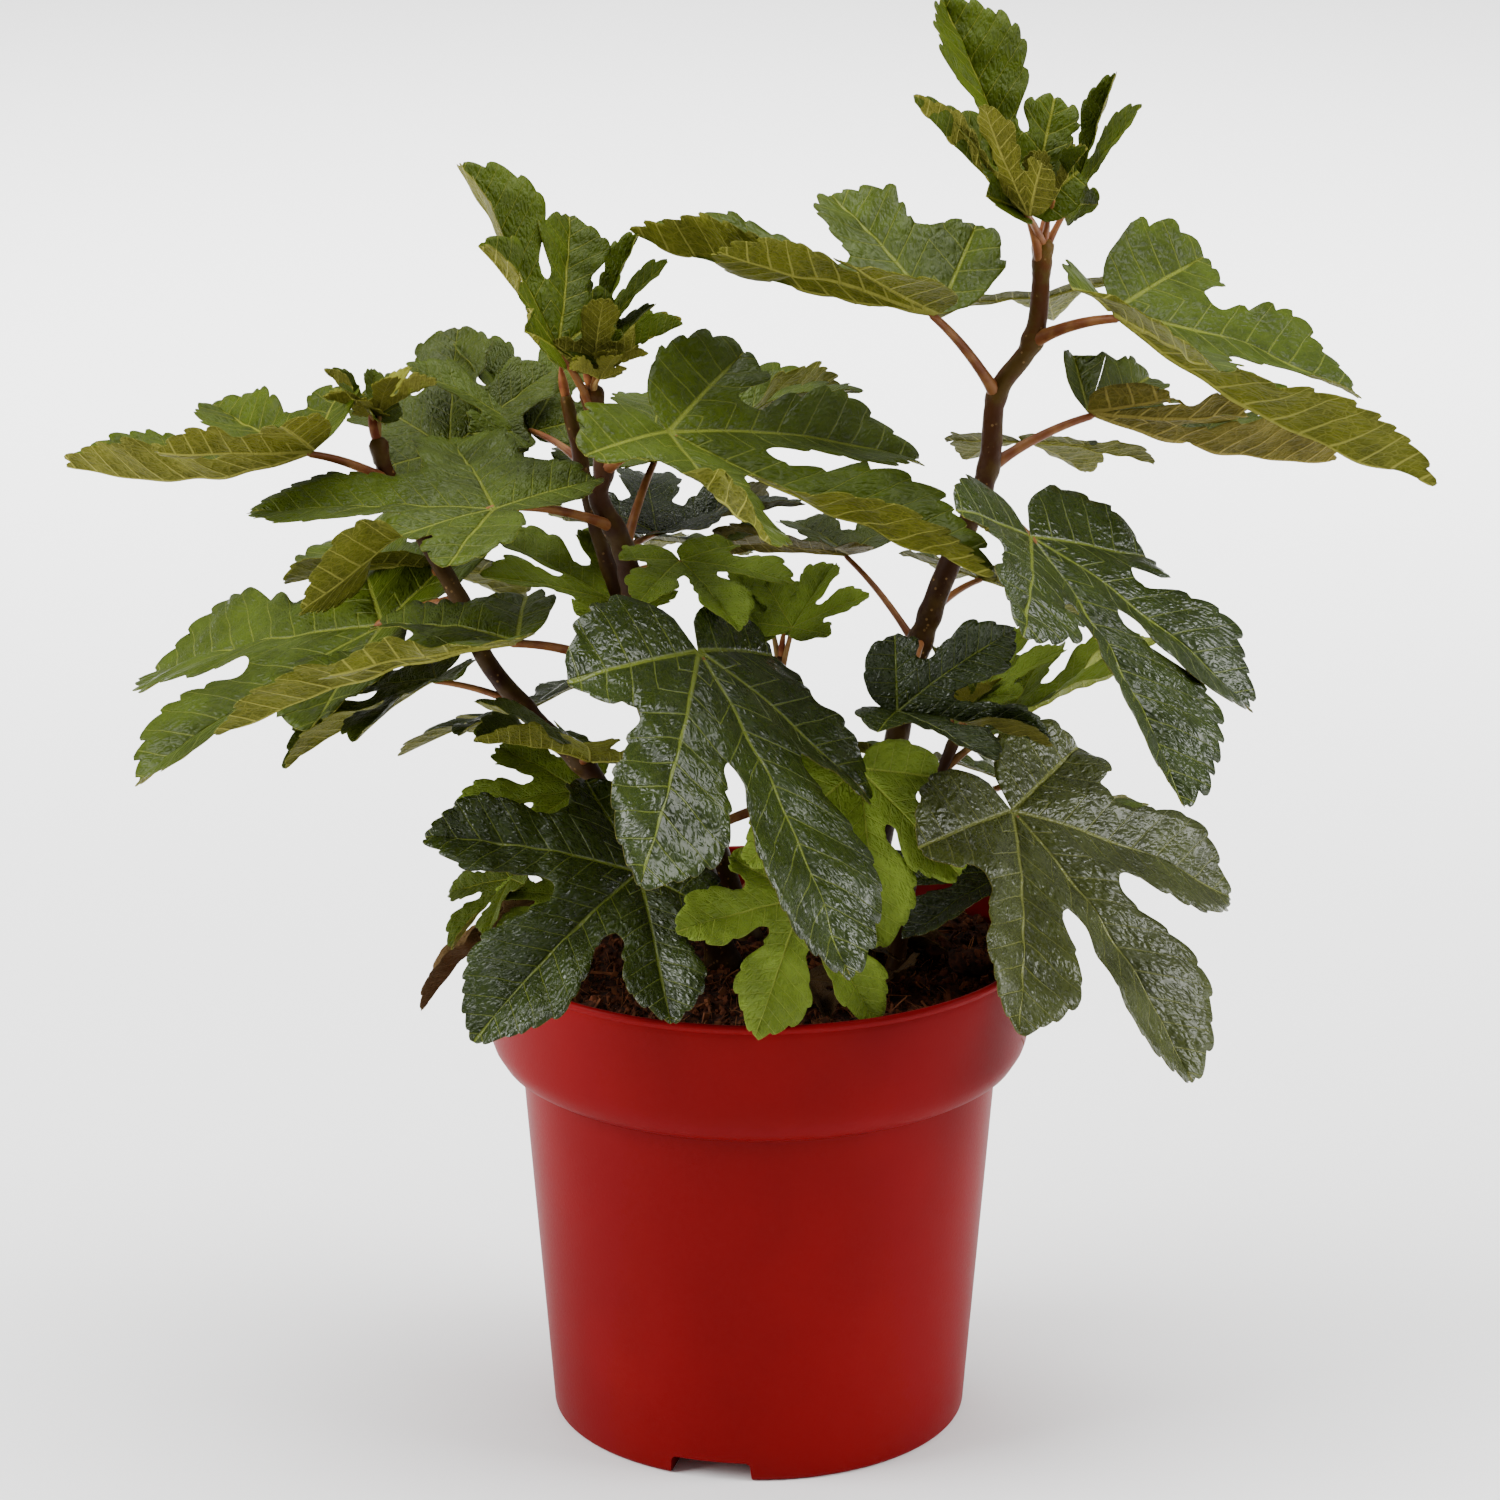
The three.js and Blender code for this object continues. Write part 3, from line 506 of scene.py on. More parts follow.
# The whole blade as one skin with no thickness: its points, faces, corner uv, and for each point its place
# along and across the veins, its share of a rib and its share of the way to the margin.
def bladeSkin(leaf, draw):
    form, detail = leafForm, leafDetail
    fine = leaf["size"] >= detail["fineFrom"]
    columns = np.array(detail["fineColumns"] if fine else detail["coarseColumns"])
    rowGap = detail["fineRow"] if fine else detail["coarseRow"]
    lobes = [lobeOf(leaf, k) for k in range(len(form["lobes"]))]
    betas = sorted({round(b, 6) for lobe in lobes for b in (lobe["betaL"], lobe["betaR"]) if b is not None})
    sinuses = [leaf["palm"] * (1 - form["slant"] * tanOf(b)) for b in betas]
    palmRows = max(detail["fewestPalmRows"], int(min(sinuses) / detail["palmRow"]))
    shared = np.unique(np.concatenate([np.linspace(0, min(sinuses), palmRows), sinuses]))
    edge = np.concatenate([columns[::-1], [0], columns])
    grids = {"points": [], "uv": [], "faces": [], "rib": [], "rim": []}
    count = 0
    for k, lobe in enumerate(lobes):
        free = lobe["reach"] - shared[-1]
        outer = shared[-1] + free * np.linspace(0, 1, max(detail["fewestRows"], int(free / rowGap)) + 1)[1:]
        stations = np.concatenate([shared, outer])
        s, t = lobeGrid(lobe, stations, columns, leaf["teeth"], draw)
        outermost = np.where(t >= 0, lobe["betaL"] is None, lobe["betaR"] is None)
        slant = np.where(outermost, form["outerSlant"], form["slant"])
        rib = np.zeros(s.shape)
        rib[:, len(columns)] = 1 - form["ribFade"] * stations / lobe["reach"]
        grids["points"].append(bladePoint(leaf, k, s, t).reshape(-1, 3))
        grids["uv"].append(np.stack([s - slant * np.abs(t), np.abs(t)], -1).reshape(-1, 2))
        grids["faces"].append(gridFaces(*s.shape) + count)
        grids["rib"].append(rib.ravel())
        grids["rim"].append(np.repeat(edge[None], len(stations), 0).ravel())
        count += s.size
    points, uv, faces, rib, rim = (np.concatenate(grid) for grid in grids.values())
    kept, faces, corners = weld(points, faces, uv, leaf["size"] * detail["weld"])
    return points[kept], faces, corners, uv[kept], rib[kept], rim[kept]


# how far each point of the blade rises over its smooth shape, as a share of the midrib
def bladeRise(points, place, rim, draw):
    relief = leafRelief
    w, t = place.T
    flat, flatPower = relief["flatMargin"]
    beat = np.abs(np.sin(math.pi * w / leafForm["veinSpacing"])) ** relief["puffRound"]
    puff = beat * smoothStep(t / relief["puffFrom"]) * (1 - flat * rim ** flatPower)
    cross = np.sin(2 * math.pi * t / relief["crossSpacing"] + draw.uniform(0, anyTurn))
    puff *= 1 + relief["crossFolds"] * cross
    phases = draw.uniform(0, anyTurn, len(relief["rippleWaves"]))
    x, y = points[:, 0], points[:, 1]
    ways = zip((x, y, x - y), relief["rippleWaves"], phases)
    wave = sum(np.sin(way * count + phase) for way, count, phase in ways) / len(phases)
    return relief["puff"] * puff + relief["ripple"] * wave * smoothStep(np.hypot(x, y) / relief["rippleFrom"])


def leafPart(leaf, seed):
    draw = np.random.RandomState(seed)
    size, detail = leaf["size"], leafDetail
    points, faces, corners, place, rib, rim = bladeSkin(leaf, draw)
    rise = bladeRise(points / size, place, rim, draw)
    points = points + pointNormals(points, faces) * (rise * size)[:, None]
    normals = pointNormals(points, faces)
    thin, thinPower = detail["thinMargin"]
    thick = max(detail["thickness"] * size, detail["thinnest"]) * (1 - thin * rim ** thinPower)
    top = points + normals * (thick / 2)[:, None]
    low = points - normals * (thick / 2 + leafForm["ribDepth"] * rib * size)[:, None]
    total = len(points)
    # the margin joins the two skins
    directed = np.concatenate([faces[:, [0, 1]], faces[:, [1, 2]], faces[:, [2, 0]]])
    code = np.sort(directed, 1) @ np.array([total, 1])
    _, where, times = np.unique(code, return_index=True, return_counts=True)
    a, b = directed[where[times == 1]].T
    brim = np.concatenate([np.stack([a, a + total, b], 1), np.stack([b, a + total, b + total], 1)])
    every = np.concatenate([faces, faces[:, ::-1] + total, brim])
    everyCorner = np.concatenate([corners, corners[:, ::-1], np.concatenate([place, place])[brim]])
    finish = [leaf["tone"] + "Upper"] * len(faces) + [leaf["tone"] + "Under"] * (len(faces) + len(brim))
    smooth = np.concatenate([np.full(2 * len(faces), True), np.full(len(brim), False)])
    placed = (np.concatenate([top, low]) @ leafAxes(leaf) + np.array(leaf["knot"])) * millimetre
    return part(placed, every, everyCorner, finish, smooth)


# stems and leafy stretches
soilTop = 176
buried = 8          # how far a stem's foot lies under the top of the soil
wayDetail = 60      # points on each stretch of a stem
# of a stem: the seed of its lumps, the radii of its foot and tip, and the places that it goes through
stems = {
    "right": {"seed": 89, "foot": 5.4, "tip": 3.3, "way": [
        (36, 2, soilTop - buried), (54, 15, 274), (65, 20, 312), (84, 25, 359), (88, 25, 391), (101, 22, 414),
        (104, 20, 452)]},
    "middle": {"seed": 98, "foot": 5.6, "tip": 3.4, "way": [
        (-12, 6, soilTop - buried), (-29, 5, 244), (-43, 0, 285), (-49, 0, 335), (-59, 0, 358), (-57, 0, 371),
        (-62, 0, 402)]},
    "back": {"seed": 72, "foot": 4.4, "tip": 2.4, "way": [
        (-2, 34, soilTop - buried), (-20, 32, 225), (-38, 30, 272), (-59, 25, 334), (-68, 25, 374),
        (-72, 26, 392)]},
    "left": {"seed": 76, "foot": 4.8, "tip": 2.8, "way": [
        (-30, -6, soilTop - buried), (-59, -5, 247), (-80, -5, 271), (-100, -5, 296), (-113, -5, 326),
        (-135, -5, 366), (-140, -5, 383)]},
    "short": {"seed": 71, "foot": 3.6, "tip": 1.9, "way": [
        (50, -8, soilTop - buried), (55, -10, 206), (64, -10, 245), (73, -10, 270)]},
    "centre": {"seed": 74, "foot": 3.2, "tip": 1.6, "way": [
        (8, -24, soilTop - buried), (6, -22, 215), (5, -18, 256), (8, -11, 302)]},
}


# a smooth way through the points, measured by its length
def stemWay(way):
    p = np.array(way, float)
    p = np.concatenate([[2 * p[0] - p[1]], p, [2 * p[-1] - p[-2]]])
    pieces = []
    for i in range(1, len(p) - 2):
        u = np.linspace(0, 1, wayDetail, endpoint=False)[:, None]
        m0, m1 = (p[i + 1] - p[i - 1]) / 2, (p[i + 2] - p[i]) / 2
        pieces.append(p[i] + m0 * u + (3 * (p[i + 1] - p[i]) - 2 * m0 - m1) * u ** 2
                      + (2 * (p[i] - p[i + 1]) + m0 + m1) * u ** 3)
    points = np.concatenate(pieces + [p[-2:-1]])
    return points, lengthAlong(points)


for stem in stems.values():
    stem["points"], stem["far"] = stemWay(stem["way"])


def stemPoint(stem, height):
    return np.array([np.interp(height, stem["points"][:, 2], stem["points"][:, i]) for i in range(3)])


# Of a mass of leaves: its stem, the heights it takes, how many leaves the rule adds at its back, how far round
# they turn, and its own leaves. Of a leaf: node is the height where its stalk leaves the stem, knot the place
# where stalk and blade meet, size the length of its midrib, and aim, dip and roll the way it points.
masses = {
    "leaves_right_low": {"stem": "right", "from": 286, "to": 338, "back": 1, "lean": -20, "leaves": [
        dict(node=296, knot=(34, 55, 322), size=60, aim=160, dip=0, foldL=25, cup=40, droop=10,
             tone="bronze"),
        dict(node=300, knot=(50, -42, 289), size=58, aim=-8, dip=4, roll=40, foldL=40, foldR=45, cup=35,
             droop=25, bow=-0.05, teeth=0.75, tone="dark"),
    ]},
    "leaves_right_middle": {"stem": "right", "from": 338, "to": 378, "back": 1, "lean": -10, "leaves": [
        dict(node=363, knot=(123, 45, 380), size=108, aim=16, dip=24, roll=-22, foldL=55, foldR=16, cup=10,
             twist=-14, droop=-20, spreadR=0.55, sideL=0.6, sideR=0.65, slim=0.9, tone="bronze"),
        dict(node=348, knot=(97, -45, 355), size=118, aim=-50, dip=33, roll=-15, foldL=8, foldR=12, cup=15,
             droop=20, spreadL=0.8, sideR=0.78, slim=1.12, tone="dark"),
    ]},
    "leaves_right_top": {"stem": "right", "from": 378, "to": 460, "back": 1, "lean": 0, "leaves": [
        dict(node=391, knot=(65, -5, 428), size=116, aim=166, dip=-3, roll=-28, foldL=56, foldR=12, cup=10,
             cupL=12, turnL=10, sagL=14, droop=-22, twist=20, spreadL=0.62, sideL=0.95, sideR=0.78),
        dict(node=412, knot=(128, 0, 428), size=133, aim=-14, dip=38, roll=3, foldL=25, foldR=22, cup=14,
             sagR=10, twist=-30, droop=-25, spreadL=0.8, spreadR=1.15, sideR=0.7, slim=0.88),
        dict(node=440, knot=(97, 5, 463), size=86, aim=131, dip=-62, roll=-4, foldL=22, foldR=30, cup=8,
             cupL=30, cupR=10, droop=10, spreadL=0.75, spreadR=0.7, sideL=0.6, sideR=0.6, slim=1.05,
             tone="young"),
        dict(node=444, knot=(114, 30, 461), size=52, aim=45, dip=-62, foldL=45, foldR=35, droop=0,
             spreadL=0.6, spreadR=0.95, sideL=0.7, sideR=1.15, slim=0.7, tone="young"),
        dict(node=448, knot=(97, -5, 464), size=60, aim=182, dip=-40, foldL=50, foldR=40, cup=40, droop=-10,
             spreadL=0.65, spreadR=0.8, sideR=0.7, slim=0.65, tone="young"),
    ]},
    "leaves_middle_low": {"stem": "middle", "from": 279, "to": 321, "back": 0, "lean": 0, "leaves": [
        dict(node=288, knot=(-87, -60, 320), size=112, aim=184, dip=7, foldL=18, foldR=12, cup=20,
             turnL=20, twist=12, droop=20, spreadL=0.75, sideL=0.8, sideR=0.75, slim=0.72),
        dict(node=300, knot=(-22, -65, 318), size=132, aim=-50, dip=40, roll=-5, foldL=-10, foldR=5, archL=35,
             cup=15, droop=20, spreadL=0.95, spreadR=0.9, sideL=0.78, palm=0.36, waist=0.1, teeth=0.6,
             tone="dark"),
    ]},
    "leaves_middle": {"stem": "middle", "from": 321, "to": 354, "back": 0, "lean": 0, "leaves": [
        dict(node=329, knot=(-29, -10, 337), size=50, aim=-63, dip=10, tone="fresh"),
        dict(node=338, knot=(-41, 44, 361), size=96, aim=40, dip=-15, foldL=5, foldR=25, cup=40, droop=20),
        dict(node=347, knot=(-95, -48, 366), size=91, aim=170, dip=-1, roll=-9, foldL=2, foldR=5, cup=12,
             cupL=15, turnL=70, sagL=17, droop=10, spreadL=0.85, spreadR=1.38, sideL=1.05, palm=0.34,
             waist=0.1),
    ]},
    "leaves_middle_top": {"stem": "middle", "from": 354, "to": 402, "back": 0, "lean": 0, "leaves": [
        dict(node=369, knot=(-33, -30, 390), size=127, aim=-10, dip=26, roll=4, foldL=24, foldR=2, cup=28,
             cupR=22, turnR=34, twist=-22, droop=-8, spreadL=0.85, spreadR=1.15, sideR=0.85, slim=0.9,
             palm=0.27, waist=0.25),
        dict(node=388, knot=(-73, -15, 417), size=78, aim=139, dip=-57, roll=6, foldL=25, foldR=20, cupL=45,
             droop=10, spreadL=0.8, spreadR=0.75, sideL=0.75, sideR=0.85, slim=1.15, tone="young"),
        dict(node=392, knot=(-62, 10, 413), size=50, aim=60, dip=-50, foldL=45, foldR=35, droop=10,
             spreadL=0.7, slim=0.7, tone="young"),
        dict(node=396, knot=(-60, -10, 408), size=40, aim=-20, dip=-35, foldL=30, foldR=60, cup=50, droop=10,
             slim=0.9, tone="young"),
    ]},
    "leaves_back_low": {"stem": "back", "from": 300, "to": 345, "back": 1, "lean": 0, "leaves": [
        dict(node=312, knot=(-54, 30, 310), size=62, aim=148, dip=-22, foldL=10, foldR=10, cup=15, droop=10,
             tone="fresh"),
        dict(node=325, knot=(-39, 60, 329), size=66, aim=50, dip=-5, foldL=20, foldR=20, cup=40, tone="dark"),
    ]},
    "leaves_back_top": {"stem": "back", "from": 345, "to": 392, "back": 0, "lean": 0, "leaves": [
        dict(node=357, knot=(-116, 38, 367), size=60, aim=90, dip=-42, roll=-12, foldL=0, foldR=0, cup=15,
             droop=10, bow=-0.1, palm=0.45, slim=1.1, tone="bronze"),
        dict(node=366, knot=(-86, 45, 372), size=60, aim=120, dip=-30, foldL=20, foldR=20),
    ]},
    "leaves_left_low": {"stem": "left", "from": 236, "to": 292, "back": 1, "lean": 40, "leaves": [
        dict(node=245, knot=(-68, 20, 239), size=52, aim=180, dip=5, roll=-20, droop=20, tone="fresh"),
        dict(node=258, knot=(-62, -30, 266), size=55, aim=-142, dip=-28, foldL=20, foldR=20, cup=30,
             droop=20),
        dict(node=280, knot=(-120, 0, 289), size=65, aim=-165, dip=20, roll=2, foldL=15, foldR=5, cup=30),
    ]},
    "leaves_left_middle": {"stem": "left", "from": 292, "to": 345, "back": 1, "lean": 32, "leaves": [
        dict(node=320, knot=(-140, 8, 307), size=132, aim=144, dip=12, roll=-26, foldL=5, foldR=0, cup=15,
             sideL=0.95, palm=0.38),
    ]},
    "leaves_left_top": {"stem": "left", "from": 345, "to": 383, "back": 0, "lean": 0, "leaves": [
        dict(node=365, knot=(-161, -25, 382), size=95, aim=170, dip=24, foldL=30, foldR=20, cup=25,
             cupL=15, turnL=10, sideL=0.8, slim=0.9, droop=-37, tone="young"),
        dict(node=376, knot=(-140, -5, 389), size=26, aim=160, dip=-40, foldL=30, foldR=30, cup=40, droop=0,
             tone="young"),
    ]},
    "leaves_short": {"stem": "short", "from": 206, "to": 270, "back": 1, "lean": -30, "leaves": [
        dict(node=228, knot=(93, -24, 222), size=62, aim=174, dip=5, roll=-18, tone="dark"),
        dict(node=236, knot=(93, -30, 247), size=120, aim=-30, dip=40, foldL=12, foldR=0, cup=15, droop=22,
             palm=0.35, teeth=0.5, tone="olive"),
        dict(node=256, knot=(91, -5, 272), size=66, aim=18, dip=-28, roll=-10, foldL=15, foldR=15, cup=30,
             droop=8, tone="fresh"),
        dict(node=262, knot=(82, -10, 285), size=41, aim=59, dip=-28, roll=-13, cup=15, droop=5,
             tone="fresh"),
    ]},
    "leaves_centre": {"stem": "centre", "from": 206, "to": 302, "back": 1, "lean": 8, "leaves": [
        dict(node=216, knot=(15, -60, 223), size=63, aim=-104, dip=27, roll=-30, foldL=5, foldR=5, cup=10,
             tone="fresh"),
        dict(node=246, knot=(-44, -60, 233), size=96, aim=-127, dip=14, roll=-20, foldL=0, foldR=20, cup=15,
             droop=25, spreadR=1.15, sideL=0.85, sideR=0.95, teeth=0.6, tone="dark"),
        dict(node=258, knot=(36, -38, 266), size=66, aim=-74, dip=60, cup=12, droop=15, bow=0.05,
             spreadL=0.8, spreadR=1.2, sideL=0.95, tone="fresh"),
        dict(node=290, knot=(12, -12, 312), size=36, aim=60, dip=-30, cup=25, droop=5, tone="fresh"),
        dict(node=296, knot=(5, -6, 310), size=34, aim=120, dip=-30, cup=25, droop=5, tone="fresh"),
    ]},
}

# the leaves that a mass grows towards the back, each range drawn at random
backRule = {
    "fan": 40,
    "firstPlace": 0.6,      # where the first leaf's node lies, and how much is left above the last
    "lastPlace": 0.4,
    "stalk": (34, 50),
    "climb": 0.15,
    "size": (58, 78),
    "sway": (-12, 12),      # the blade's aim against its stalk's
    "dip": (8, 20),
    "roll": (-10, 10),
    "fold": (0, 15),
}

# leaves only just out of the bud, and others too small for the frame
smallLeaves = {
    "leaves_right_top": [
        dict(node=449, knot=(106, 2, 468), size=26, aim=-40, dip=-62, foldL=50, foldR=50, cup=60,
             teeth=1.5, tone="young"),
    ],
    "leaves_middle_top": [
        dict(node=397, knot=(-58, -10, 405), size=22, aim=-120, dip=-28, foldL=35, foldR=35, cup=45,
             teeth=1.7, tone="tender"),
        dict(node=399, knot=(-57, -8, 407), size=20, aim=-25, dip=-32, foldL=35, foldR=35, cup=45,
             teeth=1.7, tone="tender"),
    ],
    "leaves_left_top": [
        dict(node=379, knot=(-141, -6, 391), size=19, aim=195, dip=-30, foldL=25, foldR=25, cup=35,
             teeth=1.7, tone="tender"),
        dict(node=381, knot=(-139, -5, 391), size=25, aim=-8, dip=-36, foldL=35, foldR=45, cup=45,
             teeth=1.7, tone="tender"),
    ],
    "leaves_short": [
        dict(node=266, knot=(71, -9, 284), size=21, aim=120, dip=-58, foldL=30, foldR=30, cup=40,
             teeth=1.6, tone="young"),
        dict(node=268, knot=(78, -12, 283), size=17, aim=-60, dip=-40, foldL=30, foldR=30, cup=40,
             teeth=1.6, tone="tender"),
    ],
    "leaves_left_low": [
        dict(node=238, knot=(-92, -28, 220), size=34, aim=200, dip=40, roll=-10, foldL=20, cup=25,
             tone="young"),
    ],
    "leaves_centre": [
        dict(node=210, knot=(-72, -36, 216), size=30, aim=-150, dip=20, roll=-20, cup=20, tone="fresh"),
    ],
}

# dry leaves that lie on the soil or hang over the rim
fallen = [
    dict(knot=(-84, -8, 205), size=60, aim=204, dip=26, roll=-10, foldL=66, foldR=62, cup=72, cupL=72,
         cupR=72, droop=30, twist=40, slim=0.75, sideL=0.4, sideR=0.4, palm=0.2, teeth=0.5),
    dict(knot=(34, 16, 181), size=40, aim=-12, dip=-6, roll=8, foldL=12, foldR=20, cup=35, droop=25),
    dict(knot=(18, -30, 181), size=32, aim=-75, dip=2, roll=-6, foldL=18, foldR=8, cup=40, droop=20),
    dict(knot=(50, -26, 181), size=28, aim=-110, dip=-8, roll=20, foldL=30, foldR=25, cup=50, droop=30),
    dict(knot=(44, 22, 196), size=30, aim=80, dip=-40, roll=30, foldL=40, foldR=30, cup=55, droop=20),
    dict(knot=(-40, 48, 181), size=38, aim=130, dip=0, roll=5, foldL=15, foldR=25, cup=40, droop=20),
]


seedRule = {"factor": 1664525, "addend": 1013904223, "period": 2 ** 32}


# a plain row of random numbers, the same for the same seed
def seeded(seed):
    state, period = seed, seedRule["period"]

    def pick(low, high):
        nonlocal state
        state = (state * seedRule["factor"] + seedRule["addend"]) % period
        return low + (high - low) * state / period
    return pick


def backLeaves(mass):
    rule, pick = backRule, seeded(mass["from"])
    leaves = []
    for i in range(mass["back"]):
        share = (i + rule["firstPlace"]) / (mass["back"] + rule["lastPlace"])
        node = mass["from"] + (mass["to"] - mass["from"]) * share
        aim = 90 + mass["lean"] + pick(-rule["fan"], rule["fan"])
        reach = pick(*rule["stalk"])
        turn = math.radians(aim)
        way = np.array([math.cos(turn), math.sin(turn), rule["climb"]])
        leaves.append(dict(
            node=node, knot=stemPoint(stems[mass["stem"]], node) + reach * way, size=pick(*rule["size"]),
            aim=aim + pick(*rule["sway"]), dip=pick(*rule["dip"]), roll=pick(*rule["roll"]),
            foldL=pick(*rule["fold"]), foldR=pick(*rule["fold"])))
    return leaves


stalkForm = {
    "thick": 0.8,           # radius at the stem: so much, and so much for each millimetre of the leaf's size
    "thickShare": 0.0125,
    "thin": 0.65,           # the share of it left at the blade
    "underBlade": 0.03,     # how far the stalk runs on under the blade
    "steps": 22,
    "sides": 12,
    "baseSwell": 0.3,       # how much wider it is at the stem, and how fast that goes
    "swellLength": 7,
    "endRadius": 0.5,       # the share of its radius at its very end
    "greenTones": ("fresh", "tender"),      # leaves with a green stalk
}


def stalkPart(leaf, start):
    form = stalkForm
    knot = np.array(leaf["knot"], float)
    end = knot + leafAxes(leaf)[0] * form["underBlade"] * leaf["size"]
    length = np.linalg.norm(end - start)
    middle = (start + end) / 2
    middle[2] += leaf["bow"] * length
    u = np.linspace(0, 1, form["steps"])[:, None]
    points = start * (1 - u) ** 2 + 2 * middle * u * (1 - u) + end * u ** 2
    radii = (form["thick"] + form["thickShare"] * leaf["size"]) * (1 - (1 - form["thin"]) * u[:, 0])
    radii *= 1 + form["baseSwell"] * np.exp(-((u[:, 0] * length / form["swellLength"]) ** 2))
    radii[-1] *= form["endRadius"]
    colour = "stalkGreen" if leaf["tone"] in form["greenTones"] else "stalkRed"
    return limb(points * millimetre, radii * millimetre, form["sides"], colour)


budForm = {
    "length": 13,
    "radius": 2.1,
    "forTip": 2.6,          # a stem with a thinner tip than this has a thinner bud
    "leastRadius": 0.15,
    "sunk": 1.5,            # how far it begins inside the stem
    "bend": (0.06, -0.036, 0),
    "swell": (0.85, 0.3),   # width at its ends, and what its middle has more
    "taper": (1.6, 0.8),
    "lookBack": 12,         # points of the stem that give its direction
    "steps": 16,
    "sides": 10,
}


# the pointed bud at a stem's tip, wrapped in its scales
def budPart(stem):
    form = budForm
    tip, ahead = stem["points"][-1], stem["points"][-1] - stem["points"][-form["lookBack"]]
    ahead /= np.linalg.norm(ahead)
    u = np.linspace(0, 1, form["steps"])
    bend = np.array(form["bend"]) * form["length"]
    points = tip - ahead * form["sunk"] + ahead * (u * form["length"])[:, None] + bend * (u ** 2)[:, None]
    fullness, point = form["taper"]
    least, swell = form["swell"]
    radii = form["radius"] * (1 - u ** fullness) ** point * (least + swell * np.sin(math.pi * u))
    radii = np.maximum(radii * min(1, stem["tip"] / form["forTip"]), form["leastRadius"])
    return limb(points * millimetre, radii * millimetre, form["sides"], "bud")


barkForm = {
    "spacing": 1.6,
    "sides": 26,
    "foot": 5,              # the stem starts this far up its way, inside the soil
    "flareHeight": 12,      # how high the flare above the soil reaches, and how much wider it is
    "flare": 0.35,
    "knotSwell": 0.13,      # the swelling at a leaf's node, and the groove of its scar just below
    "knotLength": 3.2,
    "scar": 0.05,
    "scarBelow": 4.5,
    "scarLength": 1.3,
    "lumps": 0.05,
    "lumpWaves": 5,
    "lumpTwist": (0.05, 0.22),      # turn of the lumps for each millimetre, drawn at random
    "tipRound": 0.02,
}


def stemPart(stem, nodes):
    form, far = barkForm, stem["far"]
    steps = int((far[-1] - form["foot"]) / form["spacing"])
    along = np.linspace(form["foot"], far[-1], steps)
    points = np.stack([np.interp(along, far, stem["points"][:, i]) for i in range(3)], 1)
    up = np.maximum(along - buried, 0)
    spread = form["flare"] * np.clip(1 - up / form["flareHeight"], 0, 1) ** 2
    radius = (stem["foot"] + (stem["tip"] - stem["foot"]) * along / far[-1]) * (1 + spread)
    for node in nodes:
        d = points[:, 2] - node
        radius = radius * (1 + form["knotSwell"] * np.exp(-((d / form["knotLength"]) ** 2)))
        groove = np.exp(-(((d + form["scarBelow"]) / form["scarLength"]) ** 2))
        radius = radius * (1 - form["scar"] * groove)
    draw = np.random.RandomState(stem["seed"])
    turns = turnsOf(form["sides"])
    lumps = np.zeros((steps, form["sides"]))
    for wave in range(1, form["lumpWaves"] + 1):
        phase, speed = draw.uniform(0, anyTurn), draw.uniform(*form["lumpTwist"])
        lumps += np.sin(wave * turns[None] + speed * along[:, None] * wave + phase) / (wave + 1)
    radii = radius[:, None] * (1 + form["lumps"] * lumps)
    tipRounding = np.sqrt(np.clip((far[-1] - along) / stem["tip"], form["tipRound"], 1))
    return limb(points * millimetre, radii * tipRounding[:, None] * millimetre, form["sides"], "bark")


# finishes
def srgb(red, green, blue):
    def linear(c):
        c = c / 255
        return c / 12.92 if c <= 0.04045 else ((c + 0.055) / 1.055) ** 2.4
    return (linear(red), linear(green), linear(blue), 1)


veinForm = {
    # width at the base, what it loses for each midrib's length outwards, and its least
    "rib": (0.0095, 0.0075, 0.0022),
    "side": (0.0042, 0.016, 0.0014),
    "ribEdge": (0.45, 1.25),        # shares of the width between which a vein fades into the blade
    "sideEdge": (0.35, 1.2),
    "swayScale": 14.0,
    "sway": 0.016,
    "netScale": 60.0,
    "netEdge": 0.12,
    "netPuff": 0.4,
    "netShare": 0.55,               # how much the small net shows and rises, beside the rungs
    "netPuffShare": 0.5,
    "rungStretch": 0.6,             # wide cells that run like rungs from one side vein to the next
    "rungScale": 0.55,
    "rungEdge": 0.07,
    "rungPuff": 0.42,
    "carve": -0.9,                  # how deep the veins lie in the relief
}


